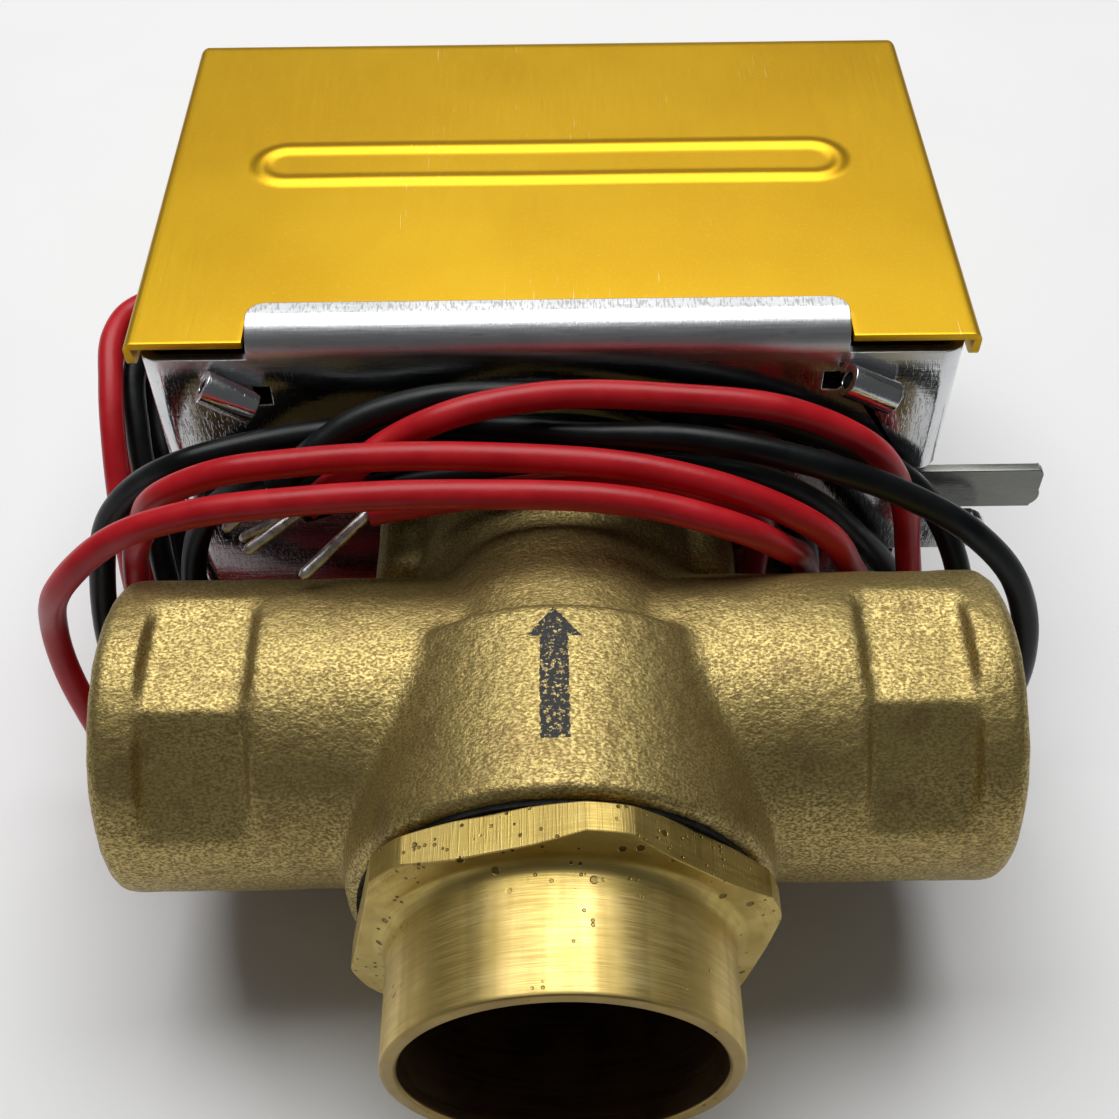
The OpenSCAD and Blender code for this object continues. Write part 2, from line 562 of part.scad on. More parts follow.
// ---------- return spring ----------
module return_spring() color([0.62, 0.63, 0.65]) at_crossing() {
    translate([spring_x, spring_y, spring_from + 4.2]) difference() {
        cylinder(r = spring_r, h = spring_to - spring_from - 8.4);
        translate([0, 0, 0.5]) cylinder(r = spring_r - 0.5, h = spring_to - spring_from - 9.4);
    }
    for (z = [spring_from, spring_to]) translate([spring_x, spring_y, z]) rotate([-90, 0, 0])
        rotate_extrude() translate([2.1, 0]) circle(0.3);
    for (z = [spring_from + 2.1, spring_to - 4.4]) translate([spring_x, spring_y, z])
        cylinder(r = 0.3, h = 2.3);
}
module spring_post() color([0.7, 0.7, 0.7]) at_crossing() difference() {
    rod_y(1.4, plate_y + plate_t, spring_y + 1.8, spring_x, spring_to);
    ring_y(3, 1, spring_y - 0.6, spring_y + 0.6, spring_x, spring_to);
}

// ---------- motor ----------
module motor_posts() color([0.74, 0.75, 0.76]) at_crossing() for (p = posts) difference() {
    rod_y(post_r, plate_y + plate_t, motor_y - 1.5, p[0], p[1]);
    rod_y(1.2, motor_y - 8, motor_y, p[0], p[1]);
}
module motor_plate() color([0.74, 0.75, 0.76]) at_crossing() difference() {
    sheet_y(motor_y - 1.5, motor_y) {
        translate([motor_x, motor_z]) circle(motor_r);
        for (p = posts) translate(p) circle(3.4);
        translate([motor_x, motor_z]) rotate(45) square([2 * post_dist, 6.8], center = true);
    }
    rod_y(1.5 + clearance, motor_y - 3, motor_y + 1, drive_x, drive_z);
    for (p = posts) rod_y(1.5, motor_y - 3, motor_y + 1, p[0], p[1]);
}
module motor_screws() color([0.68, 0.69, 0.7]) at_crossing() for (p = posts) difference() {
    union() {
        rod_y(1.2, motor_y - 7, motor_y, p[0], p[1]);
        rod_y(2.6, motor_y, motor_y + 1.6, p[0], p[1]);
    }
    box([p[0] - 3, motor_y + 0.9, p[1] - 0.4], [p[0] + 3, motor_y + 2, p[1] + 0.4]);
}
module motor_can() color([0.7, 0.71, 0.73]) at_crossing() difference() {
    rod_y(motor_r, motor_y, motor_y + motor_len, motor_x, motor_z);
    rod_y(motor_r - motor_wall, motor_y - 1, motor_y + motor_len - motor_wall, motor_x, motor_z);
    for (p = posts) rod_y(2.9, motor_y - 1, motor_y + 2, p[0], p[1]);
}
module gear_plate() color([0.6, 0.6, 0.62]) at_crossing() difference() {
    rod_y(motor_r - motor_wall - clearance, level_2 + wheel_t + 0.6, level_2 + wheel_t + 1.6, motor_x, motor_z);
    rod_y(1.5, level_2, level_2 + 5, drive_x, drive_z);
    rod_y(0.9, level_2, level_2 + 5, idler_x, idler_z);
    rod_y(1 + clearance, level_2, level_2 + 5, motor_x, motor_z);
}
module motor_coil() color([0.72, 0.36, 0.16]) at_crossing()
    ring_y(18.5, 10.5, 49.5, 64, motor_x, motor_z);
module motor_rotor() color([0.3, 0.3, 0.32]) at_crossing() {
    rod_y(8.5, 50, 63.5, motor_x, motor_z);
    rod_y(1, level_2 + wheel_t, 65, motor_x, motor_z);
    translate([motor_x, 0, motor_z]) sheet_y(level_2, level_2 + wheel_t)
        gear_2d(small_teeth, small_module, idler_to_motor_dir + 180 + 180 / small_teeth);
}
module reduction_gear() color([0.85, 0.84, 0.8]) at_crossing() {
    translate([idler_x, 0, idler_z]) sheet_y(level_2, level_2 + wheel_t)
        gear_2d(wheel_teeth, small_module, idler_to_motor_dir);
    translate([idler_x, 0, idler_z]) sheet_y(level_1, level_2)
        gear_2d(small_teeth, small_module, idler_dir + 180 + 180 / small_teeth);
    rod_y(0.87, level_2 + wheel_t, level_2 + wheel_t + 1.6, idler_x, idler_z);
}
module output_gear() color([0.8, 0.66, 0.36]) at_crossing() difference() {
    translate([drive_x, 0, drive_z]) sheet_y(level_1, level_1 + wheel_t)
        gear_2d(wheel_teeth, small_module, idler_dir);
    rod_y(1.5, level_1 - 1, level_2, drive_x, drive_z);
}
module drive_pinion() color([0.8, 0.66, 0.36]) at_crossing() {
    translate([drive_x, 0, drive_z]) sheet_y(sector_y - 0.2, sector_y + sector_t + 0.4)
        gear_2d(pinion_teeth, sector_module, drive_dir + 180 + 180 / pinion_teeth);
    rod_y(1.5, sector_y + sector_t + 0.4, level_1 + wheel_t, drive_x, drive_z);
}

// ---------- end switch ----------
module switch_holes(y0, y1, r) for (x = [5.15, 14.65]) rod_y(r, y0, y1, switch_x + x, switch_z + 7.4);
module switch_bracket() color([0.76, 0.77, 0.78]) at_crossing() difference() {
    union() {
        box([switch_x, switch_y - 1.2, switch_z], [switch_x + 19.8, switch_y, 20]);
        box([switch_x, plate_y + plate_t, 18.8], [switch_x + 19.8, switch_y, 20]);
        box([switch_x, plate_y + plate_t, 18.8], [switch_x + 19.8, plate_y + 2 * plate_t, 23.8]);
    }
    switch_holes(switch_y - 2, switch_y + 1, 1.2);
    for (x = [4, 15.8]) rod_y(1.2, plate_y, switch_y, switch_x + x, 21.9);
}
module bracket_rivets() color([0.7, 0.7, 0.7]) at_crossing() for (x = [4, 15.8]) {
    rod_y(1.2, plate_y + plate_t, plate_y + 2 * plate_t, switch_x + x, 21.9);
    rod_y(1.8, plate_y + 2 * plate_t, plate_y + 2 * plate_t + 0.8, switch_x + x, 21.9);
}
module switch_body() color([0.16, 0.16, 0.17]) at_crossing() difference() {
    box([switch_x, switch_y, switch_z], [switch_x, switch_y, switch_z] + switch_size);
    switch_holes(switch_y - 1, switch_y + 8, 1.25);
    box([button_x - 1.3, switch_y + 2, switch_z - 1], [button_x + 1.3, switch_y + 4.4, switch_z + 2.6]);
}
module switch_button() color([0.75, 0.2, 0.15]) at_crossing()
    box([button_x - 1.2, switch_y + 2.1, switch_z - 1.2], [button_x + 1.2, switch_y + 4.3, switch_z + 1.2]);
leaf_z = switch_z - 1.35;
follower_z = cam_r - shaft_offset + follower_r + 0.1;
module switch_lever() color([0.82, 0.83, 0.85]) at_crossing() {
    // Leaf, its hinge ear and its curled tip, which stands just off the cam
    sheet_y(sector_y, leaf_top) {
        translate([2.6, leaf_z - 0.35]) square([switch_hinge_x - 2.6, 0.35]);
        translate([2.6, follower_z]) square([0.35, leaf_z - follower_z]);
        translate([2.6, follower_z]) circle(follower_r);
    }
    rod_y(0.6, sector_y, leaf_top, switch_hinge_x, leaf_z - 0.2);
}
module switch_screws() color([0.7, 0.71, 0.72]) at_crossing() {
    switch_holes(switch_y - 2, switch_y + 6.4, 1.15);
    switch_holes(switch_y + 6.4, switch_y + 7.6, 2.1);
    switch_holes(switch_y - 2.4, switch_y - 1.2, 2.1);
}
module switch_terminals() color([0.85, 0.8, 0.6]) at_crossing() for (x = [3, 9.9, 16.8])
    box([switch_x + x - 1.6, switch_y + 2.9, switch_z + 10.2], [switch_x + x + 1.6, switch_y + 3.5, 22.6]);

// ---------- cover ----------
module cover_outline_2d(inset, r) translate([cover_low + cover_h / 2, (front_z - back_z) / 2])
    round_box_2d(cover_h - 2 * inset, front_z + back_z - 2 * inset, r);
module open_side_2d(inset) translate([plate_y - 1, -back_z + inset])
    square([cover_h / 2, front_z + back_z - 2 * inset]);
module bead_2d(w, h) {
    square([w - h, h], center = true);
    for (s = [-1, 1]) translate([s * (w - h) / 2, 0]) circle(h / 2);
}
module cover() color([0.93, 0.68, 0.07]) at_crossing() {
    difference() {
        union() {
            sheet_x(-cover_w / 2, cover_w / 2) cover_outline_2d(0, 2.2);
            sheet_x(-cover_w / 2, cover_w / 2) open_side_end_2d();
        }
        sheet_x(-cover_w / 2 + cover_t, cover_w / 2 - cover_t) {
            cover_outline_2d(cover_t, 1.4);
            open_side_2d(cover_t);
        }
        sheet_x(-cover_w / 2 - 1, cover_w / 2 + 1) {
            cover_outline_2d(rim_depth, 1);
            open_side_2d(rim_depth);
        }
        translate([lip_x - notch_w / 2, plate_y - 2, front_z - 6])
            cube([notch_w, notch_y - plate_y + 2, 10]);
        rod_y(1.8, cover_top - 2, cover_top + 1, cover_screw_x, 0);
    }
    // Plain raised stiffening bead on the front face
    translate([0, bead_y, front_z]) linear_extrude(bead_proud) difference() {
        bead_2d(bead_w, bead_h);
        bead_2d(bead_w - 2 * bead_line, bead_h - 2 * bead_line);
    }
}
// Squares the rounded corners at the open lower edge
module open_side_end_2d() translate([cover_low, -back_z]) square([cover_h / 2, front_z + back_z]);
module cover_screw() color([0.72, 0.73, 0.74]) at_crossing() difference() {
    union() {
        rod_y(1.5, chassis_top - 3, cover_top, cover_screw_x, 0);
        rod_y(3.2, cover_top, cover_top + 2, cover_screw_x, 0);
    }
    box([cover_screw_x - 4, cover_top + 1, -0.5], [cover_screw_x + 4, cover_top + 3, 0.5]);
}

// ---------- grommet and leads ----------
module lead_grommet() color([0.1, 0.1, 0.1]) at_crossing() difference() {
    union() {
        rod_x(6.6, -chassis_w / 2 - 1, -chassis_w / 2, grommet_y, grommet_z);
        rod_x(5.2, -chassis_w / 2, -chassis_w / 2 + plate_t, grommet_y, grommet_z);
        rod_x(6.4, -chassis_w / 2 + plate_t, -chassis_w / 2 + plate_t + 0.8, grommet_y, grommet_z);
    }
    rod_x(grommet_r, -chassis_w / 2 - 2, -chassis_w / 2 + 4, grommet_y, grommet_z);
}
function unit(v) = v / norm(v);
// Direction of the route at point i, from its two neighbours
function route_dir(p, i) = i == 0 ? unit(p[1] - p[0])
    : i == len(p) - 1 ? unit(p[i] - p[i - 1])
    : let (a = norm(p[i] - p[i - 1]), b = norm(p[i + 1] - p[i]))
        unit((p[i + 1] - p[i]) * a / b + (p[i] - p[i - 1]) * b / a);
function between(p, i, t) = let (d = norm(p[i + 1] - p[i]))
    (2 * pow(t, 3) - 3 * t * t + 1) * p[i] + (pow(t, 3) - 2 * t * t + t) * d * route_dir(p, i)
    + (3 * t * t - 2 * pow(t, 3)) * p[i + 1] + (pow(t, 3) - t * t) * d * route_dir(p, i + 1);
function smooth_route(p) = concat(
    [for (i = [0 : len(p) - 2]) let (n = max(1, round(norm(p[i + 1] - p[i]) / ring_step)))
        for (k = [0 : n - 1]) between(p, i, k / n)],
    [p[len(p) - 1]]);
// Directions across the route, carried along it without twist
function across(q, i, prev) = let (
        d = unit(q[min(i + 1, len(q) - 1)] - q[max(i - 1, 0)]),
        a = unit(prev - d * (prev * d)))
    i == len(q) - 1 ? [[a, cross(d, a)]] : concat([[a, cross(d, a)]], across(q, i + 1, a));
module lead(route) {
    sides = 8;
    q = smooth_route(route);
    frames = across(q, 0, [0, 0.6, 0.8]);
    points = [for (i = [0 : len(q) - 1]) for (k = [0 : sides - 1])
        q[i] + lead_d / 2 * (frames[i][0] * cos(k * 360 / sides) + frames[i][1] * sin(k * 360 / sides))];
    last = (len(q) - 1) * sides;
    at_crossing() polyhedron(points, concat(
        [[for (k = [0 : sides - 1]) k]],
        [for (i = [0 : len(q) - 2]) for (k = [0 : sides - 1]) let (
                a = i * sides + k, b = i * sides + (k + 1) % sides)
            each [[a, a + sides, b], [b, a + sides, b + sides]]],
        [[for (k = [sides - 1 : -1 : 0]) last + k]]));
}
// Bare tinned strands from a lead's cut end to their tip
module strands(route, tip) {
    from = route[len(route) - 1];
    along = tip - from;
    at_crossing() translate(from) rotate([0, acos(along[2] / norm(along)), atan2(along[1], along[0])])
        translate([0, 0, 0.6]) cylinder(r = strand_d / 2, h = norm(along) - 0.6);
}
module lead_red_1() color([0.75, 0.06, 0.1]) lead(red_1_route);
module lead_red_2() color([0.75, 0.06, 0.1]) lead(red_2_route);
module lead_black_1() color([0.08, 0.1, 0.1]) lead(black_1_route);
module lead_black_2() color([0.08, 0.1, 0.1]) lead(black_2_route);
module strands_red_1() color([0.8, 0.8, 0.78]) strands(red_1_route, red_1_tip);
module strands_red_2() color([0.8, 0.8, 0.78]) strands(red_2_route, red_2_tip);
module strands_black_1() color([0.8, 0.8, 0.78]) strands(black_1_route, black_1_tip);
module strands_black_2() color([0.8, 0.8, 0.78]) strands(black_2_route, black_2_tip);

valve_body();
seat_a();
seat_b();
sweat_adapter();
adapter_gasket();
bonnet();
bonnet_gasket();
shaft_bushing();
shaft_o_rings();
valve_shaft();
crank_arm();
ball_stud();
ball_plug();
shaft_clip();
chassis();
head_screws();
manual_lever();
lever_pin();
sector_gear();
return_spring();
spring_post();
motor_posts();
motor_plate();
motor_screws();
motor_can();
gear_plate();
motor_coil();
motor_rotor();
reduction_gear();
output_gear();
drive_pinion();
switch_bracket();
bracket_rivets();
switch_body();
switch_button();
switch_lever();
switch_screws();
switch_terminals();
cover();
cover_screw();
lead_grommet();
lead_red_1();
lead_red_2();
lead_black_1();
lead_black_2();
strands_red_1();
strands_red_2();
strands_black_1();
strands_black_2();
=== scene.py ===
"""Looks of a motorised three-way zone valve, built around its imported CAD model.

Everything is in metres in the row frame: +X along the through ports, +Y into the motor head, +Z out
of the head's front. Sizes written in millimetres are measured from the crossing of the ports' axes
and go through at() or level(). The camera comes first, then helpers and materials, then the leads
and the other pieces, and the floor and the light last.
"""
import json
import math

import bmesh
import bpy
import numpy as np
from mathutils import Matrix, Vector, noise


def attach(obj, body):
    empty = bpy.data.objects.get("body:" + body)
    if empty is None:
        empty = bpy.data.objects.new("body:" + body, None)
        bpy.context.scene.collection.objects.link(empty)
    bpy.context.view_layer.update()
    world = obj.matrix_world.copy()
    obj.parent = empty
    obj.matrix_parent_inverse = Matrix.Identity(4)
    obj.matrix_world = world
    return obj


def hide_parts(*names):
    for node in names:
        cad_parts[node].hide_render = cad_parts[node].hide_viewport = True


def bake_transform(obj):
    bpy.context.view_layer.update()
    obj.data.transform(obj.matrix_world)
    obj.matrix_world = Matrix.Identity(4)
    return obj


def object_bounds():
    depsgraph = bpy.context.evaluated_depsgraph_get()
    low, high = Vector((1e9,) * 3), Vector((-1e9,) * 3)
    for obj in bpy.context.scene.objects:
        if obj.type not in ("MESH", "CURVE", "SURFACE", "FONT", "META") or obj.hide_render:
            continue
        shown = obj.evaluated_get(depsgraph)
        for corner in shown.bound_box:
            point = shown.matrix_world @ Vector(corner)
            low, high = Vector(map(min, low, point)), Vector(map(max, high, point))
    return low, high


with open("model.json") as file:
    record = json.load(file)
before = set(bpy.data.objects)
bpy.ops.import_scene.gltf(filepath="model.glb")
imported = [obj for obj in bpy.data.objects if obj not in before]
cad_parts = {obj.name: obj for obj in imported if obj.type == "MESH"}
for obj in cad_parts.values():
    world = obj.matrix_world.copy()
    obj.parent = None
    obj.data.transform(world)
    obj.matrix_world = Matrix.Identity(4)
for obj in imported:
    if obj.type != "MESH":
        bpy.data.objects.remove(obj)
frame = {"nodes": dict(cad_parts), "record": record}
cad_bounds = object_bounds()
nodes = frame["nodes"]
record = frame["record"]
MM = 0.001
CROSSING_Y = next(m["pos_m"][1] for m in record["mounts"] if m["name"] == "port_a")
SCENE = bpy.context.scene


def at(x, y, z):
    """A point given in millimetres from the ports' crossing, in the row frame in metres."""
    return Vector((x * MM, level(y), z * MM))


def level(y):
    """A height along Y in millimetres from the crossing, in the row frame in metres."""
    return y * MM + CROSSING_Y


def by_speed(full):
    """The full value; this script makes no quick pass."""
    return full


def linked(name, data):
    """A new object of this data, in the scene."""
    obj = bpy.data.objects.new(name, data)
    SCENE.collection.objects.link(obj)
    return obj


# ---------------------------------------------------------------- camera
CAMERA_PLACE = at(-0.3, -86.7, 126.5)
CAMERA_PITCH, CAMERA_YAW, CAMERA_ROLL = (math.radians(a) for a in (49.1, -0.39, 0.46))
CAMERA_LENS, SENSOR_WIDTH, CLIP_NEAR, CLIP_FAR = 48.04, 36, 0.005, 10


def place_camera():
    data = bpy.data.cameras.new("camera")
    data.lens, data.sensor_width = CAMERA_LENS, SENSOR_WIDTH
    data.clip_start, data.clip_end = CLIP_NEAR, CLIP_FAR
    camera = linked("camera", data)
    turn = (Matrix.Rotation(CAMERA_YAW, 3, "Z")
            @ Matrix.Rotation(math.pi / 2 - CAMERA_PITCH, 3, "X")
            @ Matrix.Rotation(-CAMERA_ROLL, 3, "Z"))
    camera.matrix_world = Matrix.Translation(CAMERA_PLACE) @ turn.to_4x4()
    SCENE.camera = camera


place_camera()


# ---------------------------------------------------------------- helpers for meshes
def piece(name, data, body, material, slot, *replaced):
    """A new piece that takes the material, rides on a body and replaces some CAD nodes; slot is not
    used.
    """
    obj = linked(name, data)
    data.materials.append(material)
    if body:
        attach(obj, body)
    if replaced:
        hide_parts(*replaced)
    return obj


def mesh_of(name, verts, faces, sharp_over=None):
    mesh = bpy.data.meshes.new(name)
    mesh.from_pydata([tuple(v) for v in verts], [], [tuple(f) for f in faces])
    mesh.validate()
    shade(mesh, sharp_over)
    return mesh


def shade(mesh, sharp_over=None):
    """Smooth shading, with the edges that turn more than sharp_over degrees kept sharp."""
    mesh.polygons.foreach_set("use_smooth", [True] * len(mesh.polygons))
    if sharp_over:
        mesh.set_sharp_from_angle(angle=math.radians(sharp_over))
    mesh.update()


def ring_frames(points):
    """Two directions across a line at each of its points, carried along it without twist."""
    points = [Vector(p) for p in points]
    last = len(points) - 1
    along = [(points[min(i + 1, last)] - points[max(i - 1, 0)]).normalized()
             for i in range(last + 1)]
    side = along[0].orthogonal().normalized()
    frames = []
    for direction in along:
        side = (side - direction * side.dot(direction)).normalized()
        frames.append((side, direction.cross(side)))
    return frames


def tube_mesh(name, points, radius, sides, section=None, sharp_over=50):
    """A closed tube along points. section(turn, i) scales the radius where it isn't round."""
    verts, faces = [], []
    for i, (p, (u, v)) in enumerate(zip(points, ring_frames(points))):
        for k in range(sides):
            turn = 2 * math.pi * k / sides
            r = radius * (section(turn, i) if section else 1)
            verts.append(Vector(p) + (u * math.cos(turn) + v * math.sin(turn)) * r)
    rings = len(points)
    for i in range(rings - 1):
        for k in range(sides):
            a, b = i * sides + k, i * sides + (k + 1) % sides
            faces.append((a, b, b + sides, a + sides))
    faces.append(tuple(range(sides - 1, -1, -1)))
    faces.append(tuple((rings - 1) * sides + k for k in range(sides)))
    return mesh_of(name, verts, faces, sharp_over)


def final_mesh(obj, *extras):
    """The mesh that an object has after its modifiers; the object and its extras are removed."""
    bpy.context.view_layer.update()
    graph = bpy.context.evaluated_depsgraph_get()
    made = bpy.data.meshes.new_from_object(obj.evaluated_get(graph))
    for used in (obj, *extras):
        bpy.data.objects.remove(used)
    made.materials.clear()
    return made


def flattened(obj):
    """The object's final mesh, with normals that keep broad faces flat up to rounded edges."""
    weigh = obj.modifiers.new("normals", "WEIGHTED_NORMAL")
    weigh.weight, weigh.keep_sharp = 90, True
    return final_mesh(obj)


def round_edges(work, width, over, **settings):
    """Rounds the edges of a bmesh that turn more than over degrees."""
    sharp = [e for e in work.edges
             if len(e.link_faces) == 2 and e.calc_face_angle(0) > math.radians(over)]
    bmesh.ops.bevel(work, geom=sharp, offset=width, segments=2, profile=0.5, affect="EDGES",
                    clamp_overlap=False, **settings)


MERGE_WITHIN, FLAT_WITHIN, FOLD_OVER, SHARP_OVER = 2e-6, math.radians(0.6), 28, 40


def softened_mesh(node_name, width):
    """A copy of a CAD node with its triangles joined into faces and its edges rounded by width."""
    work = bmesh.new()
    work.from_mesh(nodes[node_name].data)
    bmesh.ops.remove_doubles(work, verts=work.verts, dist=MERGE_WITHIN)
    bmesh.ops.dissolve_limit(work, angle_limit=FLAT_WITHIN, verts=work.verts, edges=work.edges)
    round_edges(work, width, FOLD_OVER, miter_outer="ARC")
    mesh = bpy.data.meshes.new(node_name + "_soft")
    work.to_mesh(mesh)
    work.free()
    shade(mesh, SHARP_OVER)
    return flattened(linked("soft", mesh))


# ---------------------------------------------------------------- materials
class Look:
    """A principled material with colour, roughness and relief as patterns in the piece's place."""

    def __init__(self, name, **sockets):
        self.material = bpy.data.materials.new(name)
        self.material.use_nodes = True
        self.tree = self.material.node_tree
        self.tree.nodes.clear()
        self.output = self.tree.nodes.new("ShaderNodeOutputMaterial")
        self.shader = self.tree.nodes.new("ShaderNodeBsdfPrincipled")
        self.tree.links.new(self.shader.outputs[0], self.output.inputs["Surface"])
        self.place = self.tree.nodes.new("ShaderNodeTexCoord").outputs["Object"]
        for socket, value in sockets.items():
            self.shader.inputs[socket.replace("_", " ")].default_value = value

    def add(self, kind, inputs, **settings):
        new = self.tree.nodes.new(kind)
        for key, value in settings.items():
            setattr(new, key, value)
        for key, value in inputs.items():
            if isinstance(value, bpy.types.NodeSocket):
                self.tree.links.new(value, new.inputs[key])
            else:
                new.inputs[key].default_value = value
        return new.outputs[0]

    def noise(self, size, detail=2, stretch=(1, 1, 1), roughness=0.5, seed=0.0):
        """Noise whose features are about size metres across, times stretch along each axis."""
        place = self.add("ShaderNodeMapping", {
            "Vector": self.place, "Location": (seed, seed * 1.7, seed * 0.6),
            "Scale": tuple(1 / (size * s) for s in stretch)})
        return self.add("ShaderNodeTexNoise", {
            "Vector": place, "Scale": 1.0, "Detail": detail, "Roughness": roughness})

    def cells(self, size):
        """Distance from scattered points about size metres apart, in units of that size."""
        place = self.add("ShaderNodeMapping", {"Vector": self.place, "Scale": (1 / size,) * 3})
        return self.add("ShaderNodeTexVoronoi", {"Vector": place, "Scale": 1.0})

    def axis(self, name):
        split = self.tree.nodes.new("ShaderNodeSeparateXYZ")
        self.tree.links.new(self.place, split.inputs[0])
        return split.outputs[name]

    def ramp(self, value, low, high, start=0.0, end=1.0):
        """A smooth step from start to end, while value goes from low to high."""
        return self.add("ShaderNodeMapRange", {
            "Value": value, "From Min": low, "From Max": high, "To Min": start, "To Max": end},
            interpolation_type="SMOOTHSTEP")

    def math(self, operation, *values):
        return self.add("ShaderNodeMath", dict(enumerate(values)), operation=operation)

    def times(self, first, second):
        return self.math("MULTIPLY", first, second)

    def blend(self, factor, first, second):
        """First where factor is 0, second where it is 1; both are colours."""
        new = self.tree.nodes.new("ShaderNodeMix")
        new.data_type = "RGBA"
        for index, value in ((0, factor), (6, first), (7, second)):
            if isinstance(value, bpy.types.NodeSocket):
                self.tree.links.new(value, new.inputs[index])
            else:
                new.inputs[index].default_value = value if index == 0 else (*value, 1)
        return new.outputs[2]

    def finish(self, colour=None, roughness=None, relief=(), metallic=None):
        """Connects the patterns. relief is a list of (height pattern, its depth in metres)."""
        for socket, value in (("Base Color", colour), ("Roughness", roughness),
                              ("Metallic", metallic)):
            if value is not None:
                self.tree.links.new(value, self.shader.inputs[socket])
        normal = None
        for height, depth in relief:
            inputs = {"Height": height, "Distance": depth, "Strength": 1.0}
            if normal is not None:
                inputs["Normal"] = normal
            normal = self.add("ShaderNodeBump", inputs)
        if normal is not None:
            self.tree.links.new(normal, self.shader.inputs["Normal"])
        return self.material


# The flow arrow, in millimetres from the crossing: its line, its widths and its ends along Y
ARROW_X, ARROW_SHAFT_HALF, ARROW_HEAD_HALF, ARROW_FRONT_Z = -0.3, 1.3, 2.55, 12
ARROW_TAIL, ARROW_NECK, ARROW_TIP = -14.7, -3.6, -0.3


def arrow_ink(look):
    """1 on the worn black arrow printed on the hub's front: a shaft and a triangular head."""
    y, tip, neck = look.axis("Y"), level(ARROW_TIP), level(ARROW_NECK)
    off_line = look.math("ABSOLUTE", look.math("SUBTRACT", look.axis("X"), ARROW_X * MM))
    ragged = look.math("SUBTRACT", look.noise(0.0005, 2, seed=5), 0.5)
    off_line = look.math("ADD", off_line, look.times(ragged, 0.0005))
    in_shaft = look.times(look.math("LESS_THAN", off_line, ARROW_SHAFT_HALF * MM),
                          look.times(look.math("GREATER_THAN", y, level(ARROW_TAIL)),
                                     look.math("LESS_THAN", y, neck + 0.0005)))
    head_width = look.times(look.math("SUBTRACT", tip, y), ARROW_HEAD_HALF * MM / (tip - neck))
    in_head = look.times(look.math("LESS_THAN", off_line, head_width),
                         look.math("GREATER_THAN", y, neck))
    ink = look.times(look.math("MAXIMUM", in_shaft, in_head),
                     look.math("GREATER_THAN", look.axis("Z"), ARROW_FRONT_Z * MM))
    worn = look.ramp(look.noise(0.00042, 3, roughness=0.7, seed=21), 0.55, 0.60, 1.0, 0.15)
    return look.times(ink, worn)


def cast_brass_look():
    """Sand-cast brass: sparkling grain, brownish stains, and the flow arrow."""
    look = Look("cast_brass", Metallic=0.92)
    grain = look.noise(0.00023, 3, stretch=(1.5, 1, 1), roughness=0.6)
    pores = look.noise(0.0008, 2, seed=3)
    blotch = look.noise(0.008, 3, seed=7)
    stain = look.ramp(look.noise(0.006, 3, seed=12), 0.56, 0.72)
    ink = arrow_ink(look)
    colour = look.blend(look.ramp(grain, 0.36, 0.66), (0.23, 0.165, 0.055), (0.62, 0.49, 0.19))
    colour = look.blend(look.ramp(blotch, 0.3, 0.7, 0.0, 0.4), colour, (0.33, 0.25, 0.09))
    colour = look.blend(look.times(stain, 0.35), colour, (0.17, 0.10, 0.045))
    colour = look.blend(ink, colour, (0.012, 0.011, 0.013))
    roughness = look.math("MAXIMUM", look.ramp(grain, 0.3, 0.7, 0.6, 0.42), look.times(ink, 0.6))
    metallic = look.ramp(ink, 0.0, 1.0, 0.92, 0.1)
    return look.finish(colour, roughness, [(pores, 0.0001), (grain, 0.00006)], metallic)


# Heights along Y of the adapter's mouth, its fillet and its hexagon's low face, in metres
MOUTH_FACE, FILLET_LOW, FILLET_HIGH, HEX_FACE = 0.0003, 0.0085, 0.0105, 0.0117


def adapter_pits(look, y):
    """1 in casting pores opened by the tool: dense near the fillet, and a few elsewhere."""
    near = look.ramp(y, FILLET_LOW, HEX_FACE + 0.0001)
    patch = look.times(near, look.ramp(look.noise(0.005, 1, seed=2), 0.42, 0.56))
    elsewhere = look.ramp(look.noise(0.004, 1, seed=15), 0.62, 0.68, 0, 0.7)
    small = look.times(look.ramp(look.cells(0.0009), 0.14, 0.22, 1.0, 0.0),
                       look.math("ADD", patch, elsewhere))
    large = look.times(look.ramp(look.cells(0.0031), 0.09, 0.13, 1.0, 0.0), near)
    return look.math("MAXIMUM", small, large)


